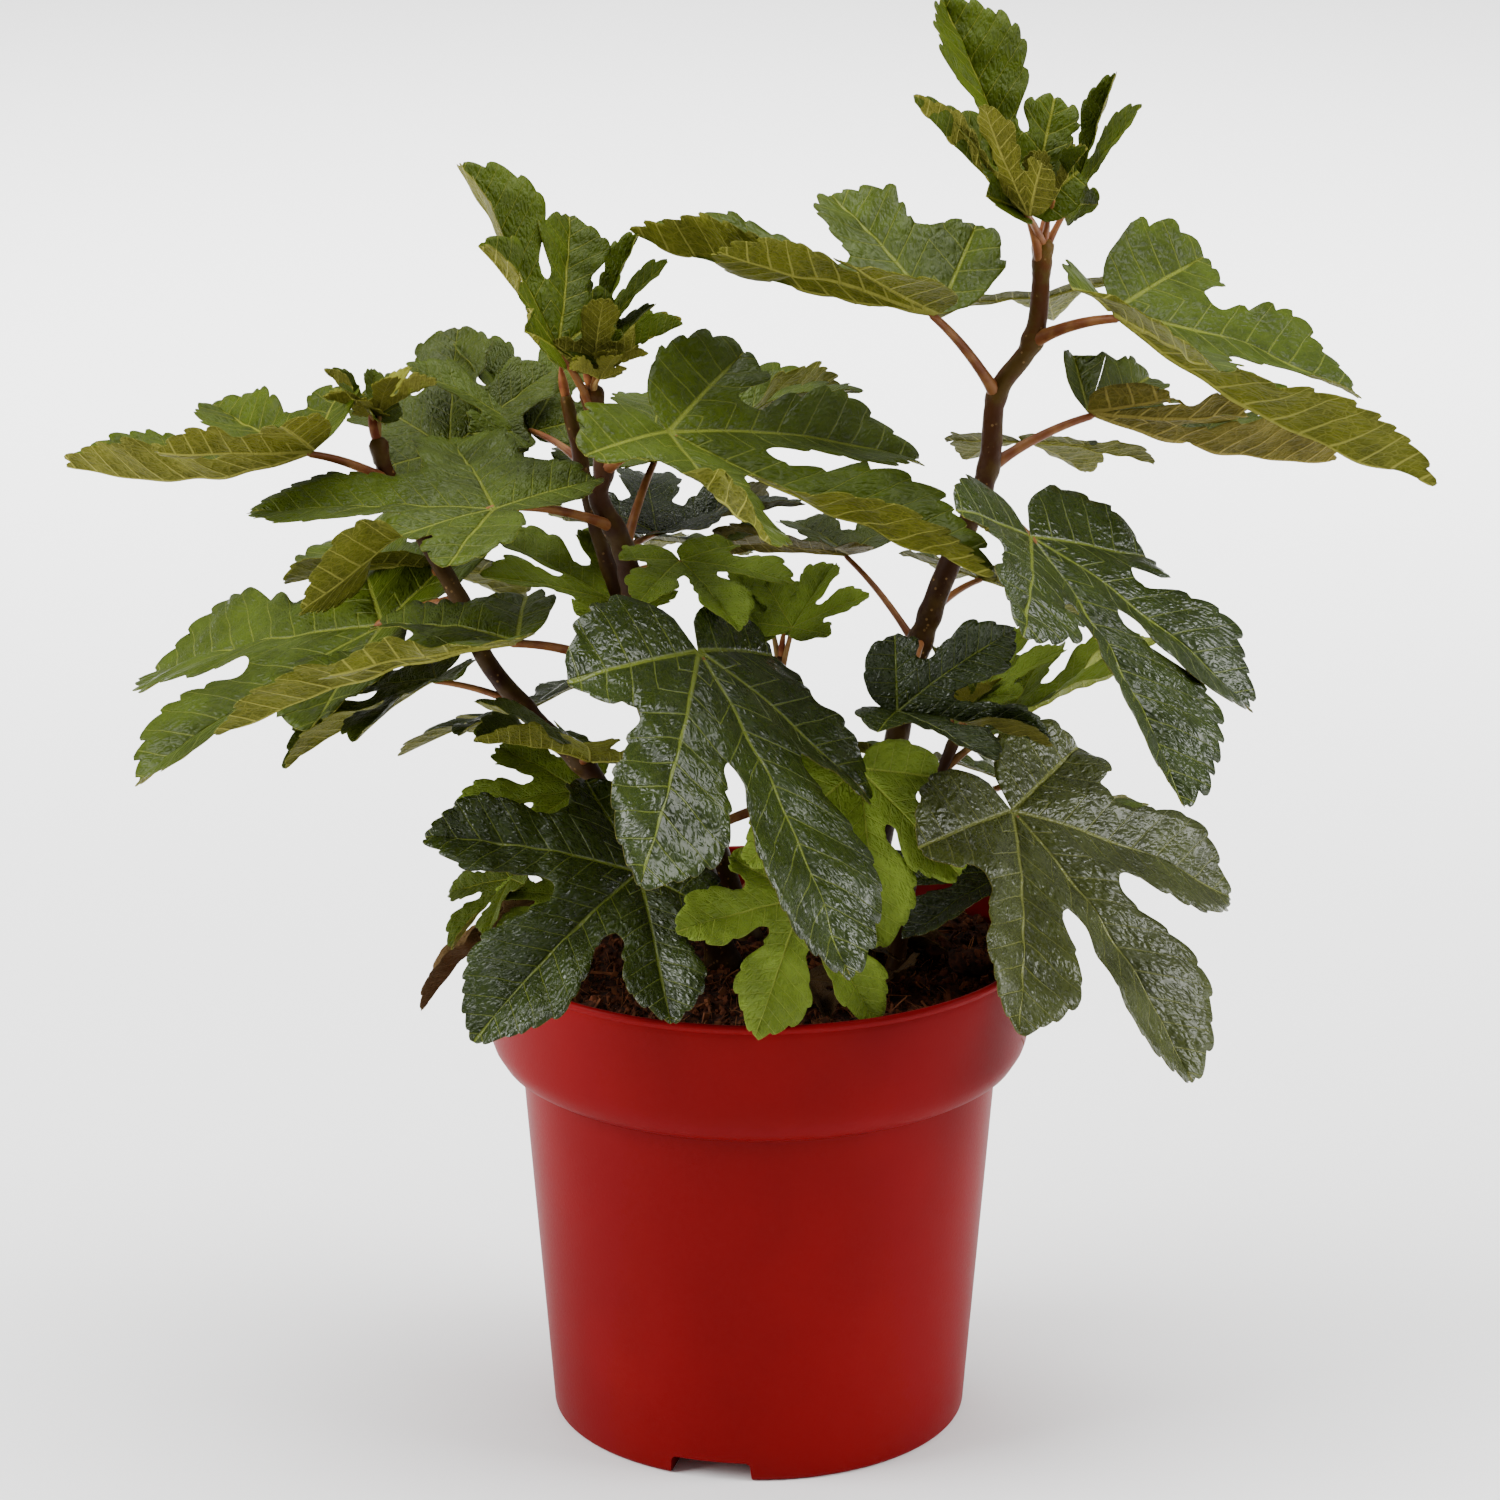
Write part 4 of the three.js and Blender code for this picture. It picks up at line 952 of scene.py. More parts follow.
def veinGroup():
    form = veinForm
    group, given, result = startGroup(
        "leafVeins",
        [("Blade", "NodeSocketVector", None), ("Vein Spacing", "NodeSocketFloat", leafForm["veinSpacing"]),
         ("Net Scale", "NodeSocketFloat", form["netScale"]), ("Vein Width", "NodeSocketFloat", 1.0)],
        ["Ribs", "Side Veins", "Net", "Relief"])

    def width(far, start, loss, least):
        return calc(group, "MAXIMUM", calc(group, "MULTIPLY_ADD", far, -loss, start), least)

    blade, spacing = given.outputs["Blade"], given.outputs["Vein Spacing"]
    split = addNode(group, "ShaderNodeSeparateXYZ")
    group.links.new(blade, split.inputs[0])
    w, t = split.outputs[0], split.outputs[1]
    ribs = remap(group, calc(group, "DIVIDE", t, width(w, *form["rib"])), *form["ribEdge"], 1.0, 0.0)
    swaying = noise(group, blade, form["swayScale"])
    sway = calc(group, "MULTIPLY_ADD", swaying, form["sway"], -form["sway"] / 2)
    phase = calc(group, "DIVIDE", calc(group, "ADD", w, sway), spacing)
    cycle = calc(group, "FRACT", calc(group, "ADD", phase, 0.5))
    away = calc(group, "ABSOLUTE", calc(group, "SUBTRACT", cycle, 0.5))
    away = calc(group, "MULTIPLY", away, spacing)
    sideWidth = calc(group, "MULTIPLY", width(t, *form["side"]), given.outputs["Vein Width"])
    sides = remap(group, calc(group, "DIVIDE", away, sideWidth), *form["sideEdge"], 1.0, 0.0)
    rungs = addNode(group, "ShaderNodeCombineXYZ")
    group.links.new(calc(group, "MULTIPLY", w, form["rungStretch"]), rungs.inputs[0])
    group.links.new(t, rungs.inputs[1])
    wideScale = calc(group, "MULTIPLY", given.outputs["Net Scale"], form["rungScale"])
    wide = cells(group, rungs.outputs[0], wideScale)
    small = cells(group, blade, given.outputs["Net Scale"])
    wideNet = remap(group, wide, 0.0, form["rungEdge"], 1.0, 0.0)
    smallNet = remap(group, small, 0.0, form["netEdge"], 1.0, 0.0)
    net = calc(group, "MAXIMUM", wideNet, calc(group, "MULTIPLY", smallNet, form["netShare"]))
    smallPuffs = calc(group, "MULTIPLY", remap(group, small, 0.0, form["netPuff"]), form["netPuffShare"])
    puffs = calc(group, "ADD", remap(group, wide, 0.0, form["rungPuff"]), smallPuffs)
    carved = calc(group, "MULTIPLY_ADD", sides, form["carve"], puffs)
    relief = calc(group, "MULTIPLY_ADD", ribs, form["carve"], carved)
    for label, value in (("Ribs", ribs), ("Side Veins", sides), ("Net", net), ("Relief", relief)):
        group.links.new(value, result.inputs[label])
    return group


leafTones = {
    # tone: upper colour, upper vein, under colour, under vein, roughness and specular level above
    "dark": ((32, 43, 9), (88, 98, 32), (62, 60, 16), (104, 100, 40), 0.24, 0.34),
    "mid": ((54, 66, 13), (98, 106, 36), (76, 78, 16), (128, 126, 52), 0.34, 0.1),
    "fresh": ((100, 118, 38), (134, 146, 58), (102, 112, 38), (138, 142, 64), 0.4, 0.08),
    "young": ((54, 66, 10), (104, 108, 34), (82, 82, 20), (134, 130, 56), 0.38, 0.07),
    "bronze": ((48, 58, 10), (90, 96, 32), (74, 68, 18), (120, 108, 48), 0.34, 0.12),
    "olive": ((48, 54, 18), (96, 100, 46), (70, 66, 20), (112, 104, 48), 0.26, 0.3),
    "tender": ((106, 108, 32), (140, 136, 54), (108, 106, 34), (142, 136, 58), 0.42, 0.07),
    "dry": ((68, 48, 24), (88, 66, 34), (80, 60, 32), (98, 76, 42), 0.65, 0.1),
}


# what differs between a leaf's two faces: how wide its veins are, how much they show, how deep its relief is
leafFaces = {
    "Upper": {"veinWidth": 1.1, "shows": {"Net": 0.12, "Side Veins": 0.6, "Ribs": 1.0}, "relief": 0.00045},
    "Under": {"veinWidth": 1.5, "shows": {"Net": 0.35, "Side Veins": 0.95, "Ribs": 1.0}, "relief": 0.0005,
              "roughness": 0.6, "specular": 0.08},
}

leafSkin = {
    "lighter": 1.22,        # patches, against the tone's colour
    "darker": 0.74,
    "patchScale": 55.0,
    "patchEdge": (0.3, 0.7),
    "roughScale": 140.0,
    "roughSpread": 0.22,
    "grainScale": 1500.0,
    "grain": 0.12,
    "reliefStrength": 0.8,
}


def leafFinish(name, face, colour, vein, roughness, specular, veins):
    look = leafSkin
    finish, tree, shader = startFinish(name)
    blade = addNode(tree, "ShaderNodeUVMap", uv_map="blade").outputs[0]
    pattern = useGroup(tree, veins, "Blade", blade, **{"Vein Width": face["veinWidth"]})
    place = objectPlace(tree)
    base = np.array(srgb(*colour))
    lighter, darker = base * look["lighter"], base * look["darker"]
    lighter[3] = darker[3] = 1
    patchy = remap(tree, noise(tree, place, look["patchScale"], detail=4.0), *look["patchEdge"])
    skin = blend(tree, patchy, tuple(darker), tuple(lighter))
    for label, share in face["shows"].items():
        skin = blend(tree, calc(tree, "MULTIPLY", pattern.outputs[label], share), skin, srgb(*vein))
    tree.links.new(skin, shader.inputs["Base Color"])
    smoothest = roughness - look["roughSpread"] / 2
    rough = calc(tree, "MULTIPLY_ADD", noise(tree, place, look["roughScale"]), look["roughSpread"], smoothest)
    tree.links.new(rough, shader.inputs["Roughness"])
    shader.inputs["Specular IOR Level"].default_value = specular
    fineGrain = calc(tree, "MULTIPLY", noise(tree, place, look["grainScale"], detail=2.0), look["grain"])
    height = calc(tree, "ADD", pattern.outputs["Relief"], fineGrain)
    addBump(tree, shader, height, face["relief"], look["reliefStrength"], invert=face is leafFaces["Under"])
    return finish


def leafFinishes():
    veins = veinGroup()
    upper, under = leafFaces["Upper"], leafFaces["Under"]
    finishes = {}
    for tone, (colour, vein, underColour, underVein, gloss, shine) in leafTones.items():
        finishes[tone + "Upper"] = leafFinish(tone + "Upper", upper, colour, vein, gloss, shine, veins)
        finishes[tone + "Under"] = leafFinish(tone + "Under", under, underColour, underVein,
                                              under["roughness"], under["specular"], veins)
    return finishes


def grainGroup():
    group, given, result = startGroup(
        "grain", [("Place", "NodeSocketVector", None), ("Scale", "NodeSocketFloat", 100.0)], ["Value"])
    coarse = addNode(group, "ShaderNodeTexNoise")
    group.links.new(given.outputs["Place"], coarse.inputs["Vector"])
    group.links.new(given.outputs["Scale"], coarse.inputs["Scale"])
    coarse.inputs["Detail"].default_value = 5
    group.links.new(coarse.outputs["Fac"], result.inputs["Value"])
    return group


# light and dark colour, size of the grain, roughness, depth of the grain
plainSkins = {
    "stalkRed": ((124, 82, 44), (100, 54, 26), 120.0, 0.45, 0.0002),
    "stalkGreen": ((142, 112, 66), (120, 82, 44), 120.0, 0.45, 0.0002),
    "bud": ((136, 84, 44), (104, 46, 20), 240.0, 0.5, 0.0003),
    "soil": ((66, 34, 20), (24, 11, 6), 300.0, 0.95, 0.0012),
    "crumb": ((92, 48, 28), (32, 15, 8), 160.0, 0.95, 0.0006),
    "chip": ((120, 70, 42), (48, 24, 13), 120.0, 0.9, 0.0004),
    "fibre": ((134, 84, 50), (70, 36, 20), 100.0, 0.85, 0.0002),
}
plainEdge = (0.35, 0.65)
plainSpecular = 0.15


def plainFinish(name, grain):
    light, dark, scale, roughness, depth = plainSkins[name]
    finish, tree, shader = startFinish(name)
    value = useGroup(tree, grain, "Place", objectPlace(tree), Scale=scale).outputs[0]
    skin = blend(tree, remap(tree, value, *plainEdge), srgb(*dark), srgb(*light))
    tree.links.new(skin, shader.inputs["Base Color"])
    shader.inputs["Roughness"].default_value = roughness
    shader.inputs["Specular IOR Level"].default_value = plainSpecular
    addBump(tree, shader, value, depth)
    return finish


barkSkin = {
    "old": ((46, 24, 8), (60, 42, 14)),
    "young": ((78, 42, 10), (78, 58, 14)),
    "youngFrom": (0.33, 0.46),      # heights in metres over which old bark turns to young
    "mottleScale": 90.0,
    "mottleEdge": (0.42, 0.62),
    "pore": (122, 92, 52),
    "poreScale": 420.0,
    "poreEdge": (0.16, 0.26),
    "patchScale": 120.0,            # pores stand thick in some places and are missing in others
    "patchEdge": (0.5, 0.6),
    "poreShare": 0.75,
    "grainScale": 260.0,
    "grain": 0.0006,
    "roughness": 0.5,
    "specular": 0.1,
}


def barkFinish(grain):
    look = barkSkin
    finish, tree, shader = startFinish("bark")
    place = objectPlace(tree)
    split = addNode(tree, "ShaderNodeSeparateXYZ")
    tree.links.new(place, split.inputs[0])
    young = remap(tree, split.outputs[2], *look["youngFrom"])
    value = useGroup(tree, grain, "Place", place, Scale=look["grainScale"]).outputs[0]
    mottle = remap(tree, noise(tree, place, look["mottleScale"], detail=4.0), *look["mottleEdge"])
    old, fresh = (blend(tree, mottle, *(srgb(*colour) for colour in look[age])) for age in ("old", "young"))
    pores = remap(tree, cells(tree, place, look["poreScale"], "F1"), *look["poreEdge"], 1.0, 0.0)
    patches = remap(tree, noise(tree, place, look["patchScale"]), *look["patchEdge"], 0.0, look["poreShare"])
    pores = calc(tree, "MULTIPLY", pores, patches)
    skin = blend(tree, pores, blend(tree, young, old, fresh), srgb(*look["pore"]))
    tree.links.new(skin, shader.inputs["Base Color"])
    shader.inputs["Roughness"].default_value = look["roughness"]
    shader.inputs["Specular IOR Level"].default_value = look["specular"]
    addBump(tree, shader, value, look["grain"])
    return finish


# pot and soil
pot = {
    "height": 190,
    "rimRadius": 105,
    "rimWidth": 2.4,
    "rimRound": 1.4,
    "wall": 1.8,
    "collarRadius": 102.2,
    "collarFoot": 142,      # height of the step under the collar
    "stepRadius": 94.5,
    "bodyRadius": 90,
    "baseRadius": 79,
    "floor": 12,            # height of the floor inside
    "flatInside": 20,       # a ring on the flat underside, this far in from the foot
    "footRound": 2.2,
    "footArc": (-90, -5, 6),        # from and to this angle, in so many points
    "rimArc": (-50, 180, 12),
    "bodyEnds": (2.4, -1),          # heights of the tapered wall's ends, from the ground and the collar's foot
    "bodyShares": (0.08, 0.98, 14),         # from and to this share of the wall, in so many points
    "collarShares": (0.2, 1, 5),
    "sides": 192,
    "sharpAngle": 32,
}
# Small steps out and up. Those of body, step and collar start from their own radius at the collar's foot, and
# those of the rim from its radius at the top.
potSteps = {
    "body": ((0, -0.6), (0.5, -0.1), (1.4, 0)),
    "step": ((-1.2, 0), (0.2, 0.3), (3.2, 2.1)),
    "collar": ((-3.2, 4.2), (-1.7, 6.6), (-0.8, 9.2), (-0.25, 12.2), (0, 15.8)),
    "underRim": ((-0.9, -5.6), (-0.95, -4.4), (-1.1, -3.3)),
    "insideRim": ((-0.3, -3.5), (-0.8, -6)),
    "insideStep": ((0, 3),),
    "insideCollar": ((-3, 8), (0, 17)),
}
# The notches in the foot. Past and below say how far their cutter stands out of the pot, and chamfer how far in
# and down its upper corners are cut.
notch = {"count": 3, "width": 32, "height": 7.5, "depth": 18, "firstTurn": -103.5, "past": 12, "below": 4,
         "chamfer": ((2.2, 0), (0.9, 1.2))}
clearance = 0.35    # between pot and soil


def arc(centre, radius, start, stop, steps):
    turns = np.radians(np.linspace(start, stop, steps))
    return [(centre[0] + radius * math.cos(a), centre[1] + radius * math.sin(a)) for a in turns]


def line(start, end, shares):
    return [(start[0] + (end[0] - start[0]) * q, start[1] + (end[1] - start[1]) * q) for q in shares]


def stepsFrom(radius, height, steps):
    return [(radius + out, height + up) for out, up in steps]


# the pot's inside from the middle of its floor to its collar, set in from its outside, with the levels raised
def insideWay(inset, floorLift=0, lift=0):
    p = pot
    floor, foot = p["floor"] + floorLift, p["collarFoot"]
    innerBase = p["baseRadius"] + (p["bodyRadius"] - p["baseRadius"]) * p["floor"] / foot - inset
    way = [(0, floor), (innerBase, floor), (p["bodyRadius"] - inset, foot)]
    way += stepsFrom(p["stepRadius"] - inset, foot + lift, potSteps["insideStep"])
    return way + stepsFrom(p["collarRadius"] - inset, foot + lift, potSteps["insideCollar"])


def potProfile():
    p, top, foot = pot, pot["height"], pot["collarFoot"]
    base, body, rim = p["baseRadius"], p["bodyRadius"], p["rimRadius"]
    footRound, rimRound = p["footRound"], p["rimRound"]
    low, high = p["bodyEnds"]
    profile = [(0, 0), (base - p["flatInside"], 0)]
    profile += arc((base - footRound, footRound), footRound, *p["footArc"])
    profile += line((base, low), (body, foot + high), np.linspace(*p["bodyShares"]))
    for name in ("body", "step", "collar"):
        profile += stepsFrom(p[name + "Radius"], foot, potSteps[name])
    underRim = stepsFrom(rim, top, potSteps["underRim"])
    profile += line(profile[-1], underRim[0], np.linspace(*p["collarShares"])) + underRim[1:]
    profile += arc((rim - rimRound, top - rimRound), rimRound, *p["rimArc"])
    profile += stepsFrom(rim - p["rimWidth"], top, potSteps["insideRim"])
    return np.array(profile + insideWay(p["wall"])[::-1])


def turnedPart(profile, sides, finish):
    turns = turnsOf(sides)
    r, z = profile[:, 0][:, None], profile[:, 1][:, None]
    skin = np.stack([r * np.cos(turns), r * np.sin(turns), z + 0 * turns], 2) * millimetre
    uv = np.stack([np.repeat(turns[None] / (2 * np.pi), len(profile), 0),
                   np.repeat(np.linspace(0, 1, len(profile))[:, None], sides, 1)], 2)
    return ringPart(skin, uv, finish)


def plainMesh(piece):
    graph = bpy.context.evaluated_depsgraph_get()
    mesh = bpy.data.meshes.new_from_object(piece.evaluated_get(graph))
    piece.modifiers.clear()
    piece.data = mesh


# a block the shape of one notch
def notchCutter(turn):
    half, high = notch["width"] / 2, notch["height"]
    (wide, low), (narrow, deep) = notch["chamfer"]
    outline = [(-half, -notch["below"]), (half, -notch["below"]), (half - narrow, high - deep),
               (half - wide, high - low), (-half + wide, high - low), (-half + narrow, high - deep)]
    c, s = math.cos(math.radians(turn)), math.sin(math.radians(turn))
    points = []
    for r in (pot["baseRadius"] - notch["depth"], pot["baseRadius"] + notch["past"]):
        points += [(r * c - y * s, r * s + y * c, z) for y, z in outline]
    n = len(outline)
    faces = [tuple(range(n - 1, -1, -1)), tuple(range(n, 2 * n))]
    faces += [(i, (i + 1) % n, (i + 1) % n + n, i + n) for i in range(n)]
    mesh = bpy.data.meshes.new("cutter")
    mesh.from_pydata([tuple(v * millimetre for v in p) for p in points], [], faces)
    return linkObject("cutter", mesh)


def makePot(finishes):
    piece = buildPiece("pot_shell", [turnedPart(potProfile(), pot["sides"], "pot")], finishes)
    for i in range(notch["count"]):
        cutter = notchCutter(notch["firstTurn"] + 360 * i / notch["count"])
        cut = piece.modifiers.new("notch", "BOOLEAN")
        cut.operation = "DIFFERENCE"
        cut.solver = "EXACT"
        cut.object = cutter
        plainMesh(piece)
        bpy.data.objects.remove(cutter)
    piece.data.set_sharp_from_angle(angle=math.radians(pot["sharpAngle"]))
    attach(piece, "root")
    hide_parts("pot")


potSkin = {
    "colours": ((98, 9, 13), (108, 11, 15)),
    "cloudScale": 9.0,
    "cloudEdge": (0.3, 0.7),
    "grainScale": 900.0,
    "grain": 0.00006,
    "roughness": (0.1, 0.38),       # spread and least
    "specular": 0.03,
}


def potFinish(grain):
    look = potSkin
    finish, tree, shader = startFinish("pot")
    place = objectPlace(tree)
    value = useGroup(tree, grain, "Place", place, Scale=look["grainScale"]).outputs[0]
    cloud = remap(tree, noise(tree, place, look["cloudScale"]), *look["cloudEdge"])
    skin = blend(tree, cloud, *(srgb(*colour) for colour in look["colours"]))
    tree.links.new(skin, shader.inputs["Base Color"])
    tree.links.new(calc(tree, "MULTIPLY_ADD", value, *look["roughness"]), shader.inputs["Roughness"])
    shader.inputs["Specular IOR Level"].default_value = look["specular"]
    addBump(tree, shader, value, look["grain"])
    return finish


soilForm = {
    "rings": 60,
    "around": 220,
    "seed": 5,
    "inset": 0.3,           # more than the wall and the clearance
    "lift": 0.4,
    "edge": 100.3,
    "edgeDrop": 3,
    "edgeWidth": 1.8,
    "topDrop": 0.5,
    "bumps": 2.6,           # height of the uneven top
    "bumpScales": (0.045, 0.09, 0.18, 0.34, 0.6, 1.0),
    "bumpWays": 4,          # waves of each scale, each its own way
    "bumpFade": (0.06, 0.55),       # how much lower the finer ones are
}


def soilPart():
    form, edge = soilForm, soilForm["edge"]
    side = insideWay(pot["wall"] + clearance + form["inset"], clearance, form["lift"])
    side += [(edge, soilTop - form["edgeDrop"])]
    side += [(r, soilTop - form["topDrop"]) for r in np.linspace(edge - form["edgeWidth"], 0, form["rings"])]
    soil = turnedPart(np.array(side), form["around"], "soil")
    x, y, z = soil["points"].T / millimetre
    draw = np.random.RandomState(form["seed"])
    largest, power = form["bumpFade"]
    lift = np.zeros(len(x))
    for scale in form["bumpScales"]:
        for _ in range(form["bumpWays"]):
            a, phase = draw.uniform(0, anyTurn, 2)
            wave = np.sin((x * math.cos(a) + y * math.sin(a)) * scale + phase)
            lift += wave * (largest / scale) ** power / form["bumpWays"]
    top = z > soilTop - 2 * form["topDrop"]
    soil["points"][:, 2] += np.where(top, lift * form["bumps"], 0) * millimetre
    return soil


# The small things on the soil: how many lie on a square metre, their smallest and largest size, the seed that
# spreads them, and their finish.
strewn = {
    "soil_crumbs": {"Density": 95000.0, "Smallest": 0.5, "Largest": 1.7, "Seed": 3, "finish": "crumb"},
    "soil_chips": {"Density": 16000.0, "Smallest": 0.6, "Largest": 1.8, "Seed": 8, "finish": "chip"},
    "soil_fibres": {"Density": 20000.0, "Smallest": 0.5, "Largest": 1.6, "Seed": 12, "finish": "fibre"},
}
strewForm = {
    "flattest": 0.6,                # a face lies flat enough where its normal rises more than this
    "uneven": (0.6, 1.4),
    "crumbDetail": 1,
    "fibreSteps": 5,
    "fibreSides": 3,
    "crumbRadius": 0.001,           # from here on in metres
    "chipSize": (0.0042, 0.0016, 0.0007),
    "fibreWay": {"Start": (-0.004, 0, 0), "Middle": (0, 0.003, 0.001), "End": (0.004, 0, 0)},
    "fibreRadius": 0.00016,
}


# points on the top of a surface, a shape on each, turned and sized at random
def strewTree(name, shape):
    tree = bpy.data.node_groups.new(name, "GeometryNodeTree")
    addInputs(tree, [("Geometry", "NodeSocketGeometry", None), ("Density", "NodeSocketFloat", 1000.0),
                     ("Seed", "NodeSocketInt", 1), ("Smallest", "NodeSocketFloat", 0.5),
                     ("Largest", "NodeSocketFloat", 1.5), ("Finish", "NodeSocketMaterial", None)])
    tree.interface.new_socket("Geometry", in_out="OUTPUT", socket_type="NodeSocketGeometry")
    given, result = addNode(tree, "NodeGroupInput"), addNode(tree, "NodeGroupOutput")
    link = tree.links.new
    facing = addNode(tree, "GeometryNodeInputNormal")
    split = addNode(tree, "ShaderNodeSeparateXYZ")
    link(facing.outputs[0], split.inputs[0])
    upward = addNode(tree, "FunctionNodeCompare", data_type="FLOAT", operation="GREATER_THAN")
    link(split.outputs[2], upward.inputs[0])
    upward.inputs[1].default_value = strewForm["flattest"]
    strew = addNode(tree, "GeometryNodeDistributePointsOnFaces")
    link(given.outputs["Geometry"], strew.inputs["Mesh"])
    link(upward.outputs[0], strew.inputs["Selection"])
    link(given.outputs["Density"], strew.inputs["Density"])
    link(given.outputs["Seed"], strew.inputs["Seed"])
    turn = addNode(tree, "FunctionNodeRandomValue", data_type="FLOAT_VECTOR")
    turn.inputs[1].default_value = (anyTurn, anyTurn, anyTurn)
    size = addNode(tree, "FunctionNodeRandomValue", data_type="FLOAT")
    link(given.outputs["Smallest"], size.inputs[2])
    link(given.outputs["Largest"], size.inputs[3])
    uneven = addNode(tree, "FunctionNodeRandomValue", data_type="FLOAT_VECTOR")
    for socket, value in zip(uneven.inputs, strewForm["uneven"]):
        socket.default_value = (value, value, value)
    grow = addNode(tree, "ShaderNodeVectorMath", operation="SCALE")
    link(uneven.outputs[0], grow.inputs[0])
    link(size.outputs[1], grow.inputs["Scale"])
    onPoints = addNode(tree, "GeometryNodeInstanceOnPoints")
    link(strew.outputs["Points"], onPoints.inputs["Points"])
    link(shape(tree), onPoints.inputs["Instance"])
    link(turn.outputs[0], onPoints.inputs["Rotation"])
    link(grow.outputs[0], onPoints.inputs["Scale"])
    realize = addNode(tree, "GeometryNodeRealizeInstances")
    link(onPoints.outputs[0], realize.inputs[0])
    finish = addNode(tree, "GeometryNodeSetMaterial")
    link(realize.outputs[0], finish.inputs["Geometry"])
    link(given.outputs["Finish"], finish.inputs["Material"])
    link(finish.outputs[0], result.inputs[0])
    return tree


def crumbShape(tree):
    ball = addNode(tree, "GeometryNodeMeshIcoSphere")
    ball.inputs["Radius"].default_value = strewForm["crumbRadius"]
    ball.inputs["Subdivisions"].default_value = strewForm["crumbDetail"]
    return ball.outputs[0]


def chipShape(tree):
    block = addNode(tree, "GeometryNodeMeshCube")
    block.inputs["Size"].default_value = strewForm["chipSize"]
    return block.outputs[0]


def fibreShape(tree):
    way = addNode(tree, "GeometryNodeCurveQuadraticBezier")
    way.inputs["Resolution"].default_value = strewForm["fibreSteps"]
    for label, value in strewForm["fibreWay"].items():
        way.inputs[label].default_value = value
    ring = addNode(tree, "GeometryNodeCurvePrimitiveCircle")
    ring.inputs["Resolution"].default_value = strewForm["fibreSides"]
    ring.inputs["Radius"].default_value = strewForm["fibreRadius"]
    skin = addNode(tree, "GeometryNodeCurveToMesh")
    tree.links.new(way.outputs[0], skin.inputs["Curve"])
    tree.links.new(ring.outputs[0], skin.inputs["Profile Curve"])
    skin.inputs["Fill Caps"].default_value = True
    return skin.outputs[0]


def strewPiece(name, base, shape, finishes):
    piece = linkObject(name, base.data.copy())
    strew = piece.modifiers.new("strew", "NODES")
    tree = strewTree(name, shape)
    strew.node_group = tree
    keys = {item.name: item.identifier for item in tree.interface.items_tree if item.in_out == "INPUT"}
    finish = finishes[strewn[name]["finish"]]
    for label in ("Density", "Seed", "Smallest", "Largest"):
        strew[keys[label]] = strewn[name][label]
    strew[keys["Finish"]] = finish
    plainMesh(piece)
    piece.data.materials.clear()
    piece.data.materials.append(finish)
    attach(piece, "root")


# clods of matted fibre: middle, width
clods = [((79, -6, 180), 17), ((68, 10, 179), 12), ((88, 6, 180), 11), ((-62, -58, 179), 12),
         ((-20, -80, 178), 9), ((10, 62, 179), 14), ((-70, 36, 179), 11), ((58, -62, 178), 8)]


clodForm = {
    "rows": 20,
    "columns": 30,
    "lumps": 0.22,
    "lumpWaves": (2, 4, 7, 12),
    "flattened": (1, 0.9, 0.62),
}


def clodPart(centre, width, seed):
    form = clodForm
    draw = np.random.RandomState(seed)
    up = np.linspace(-math.pi / 2, math.pi / 2, form["rows"])
    turns = turnsOf(form["columns"])
    out = np.stack([np.cos(up)[:, None] * np.cos(turns), np.cos(up)[:, None] * np.sin(turns),
                    np.sin(up)[:, None] + 0 * turns], 2)
    lumps = np.zeros(out.shape[:2])
    for wave in form["lumpWaves"]:
        way = draw.normal(size=3)
        lumps += np.sin(out @ way * wave + draw.uniform(0, anyTurn)) / wave
    reach = width / 2 * (1 + form["lumps"] * lumps)
    points = np.array(centre) + out * reach[..., None] * np.array(form["flattened"])
    return ringPart(points * millimetre, np.repeat(out[..., :1], 2, 2), "soil")


def makeSoil(finishes):
    lumps = [clodPart(*clod, seed) for seed, clod in enumerate(clods)]
    soil = buildPiece("soil_bed", [soilPart()] + lumps, finishes)
    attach(soil, "root")
    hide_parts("soil")
    strewPiece("soil_crumbs", soil, crumbShape, finishes)
    strewPiece("soil_chips", soil, chipShape, finishes)
    strewPiece("soil_fibres", soil, fibreShape, finishes)


# leaves, stalks, buds and stems
firstSeeds = {"foliage": 101, "litter": 300}


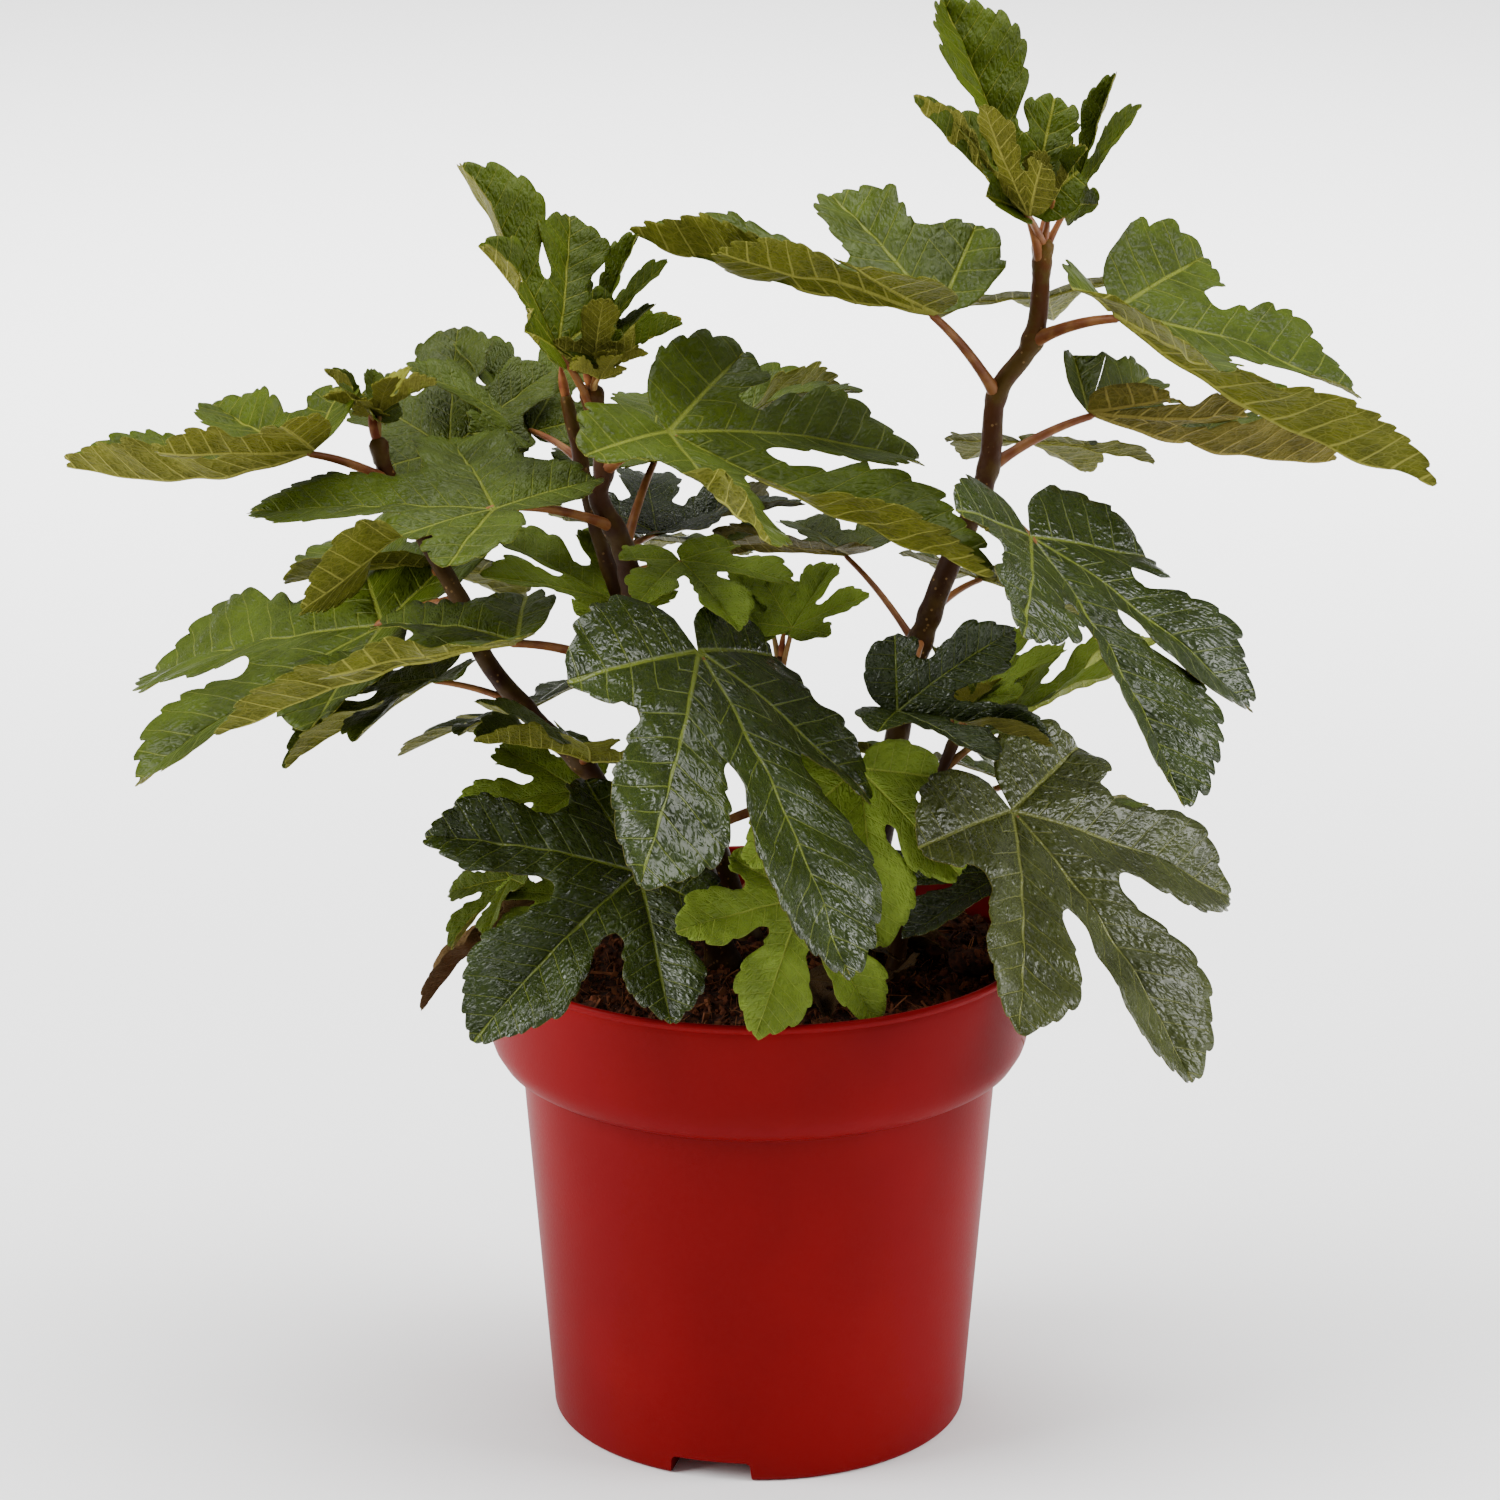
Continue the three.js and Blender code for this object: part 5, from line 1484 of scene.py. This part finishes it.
def makeFoliage(finishes):
    stalks = {name: [] for name in stems}
    nodes = {name: [] for name in stems}
    seed = firstSeeds["foliage"]
    for name, mass in masses.items():
        stem = stems[mass["stem"]]
        blades = []
        for row in mass["leaves"] + backLeaves(mass) + smallLeaves.get(name, []):
            leaf = {**restShape, **row}
            blades.append(leafPart(leaf, seed))
            stalks[mass["stem"]].append(stalkPart(leaf, stemPoint(stem, leaf["node"])))
            nodes[mass["stem"]].append(leaf["node"])
            seed += 1
        piece = buildPiece("foliage_" + name.removeprefix("leaves_"), blades, finishes)
        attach(piece, "root")
        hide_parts(name)
        print(piece.name, len(piece.data.polygons), "triangles")
    return stalks, nodes


def makeLitter(finishes):
    leaves = [{**restShape, **row, "tone": "dry"} for row in fallen]
    blades = [leafPart(leaf, firstSeeds["litter"] + i) for i, leaf in enumerate(leaves)]
    litter = buildPiece("dry_leaves", blades, finishes)
    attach(litter, "root")


def makeWood(stalks, nodes, finishes):
    buds = [budPart(stem) for stem in stems.values()]
    allStalks = buildPiece("leaf_stalks", [one for row in stalks.values() for one in row] + buds, finishes)
    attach(allStalks, "root")
    wood = buildPiece("stems", [stemPart(stem, nodes[name]) for name, stem in stems.items()], finishes)
    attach(wood, "root")
    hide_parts(*["stem_" + name for name in stems])
    print("stems made,", len(wood.data.polygons), "triangles")


# put it together
placeCamera()
placeLights()
grain = grainGroup()
finishes = leafFinishes()
finishes["bark"] = barkFinish(grain)
finishes["pot"] = potFinish(grain)
for name in plainSkins:
    finishes[name] = plainFinish(name, grain)
print("camera, lights and finishes are ready")

makePot(finishes)
print("pot made")
makeSoil(finishes)
print("soil made")
stalks, nodes = makeFoliage(finishes)
makeLitter(finishes)
makeWood(stalks, nodes, finishes)

bpy.ops.mesh.primitive_plane_add(size=studio["floorSize"])
floor = bpy.context.object
floor.name = "floor"
floorFinish, _, floorShader = startFinish("floor")
floorShader.inputs["Base Color"].default_value = studio["floorColour"]
floorShader.inputs["Roughness"].default_value = studio["floorRoughness"]
floor.data.materials.append(floorFinish)
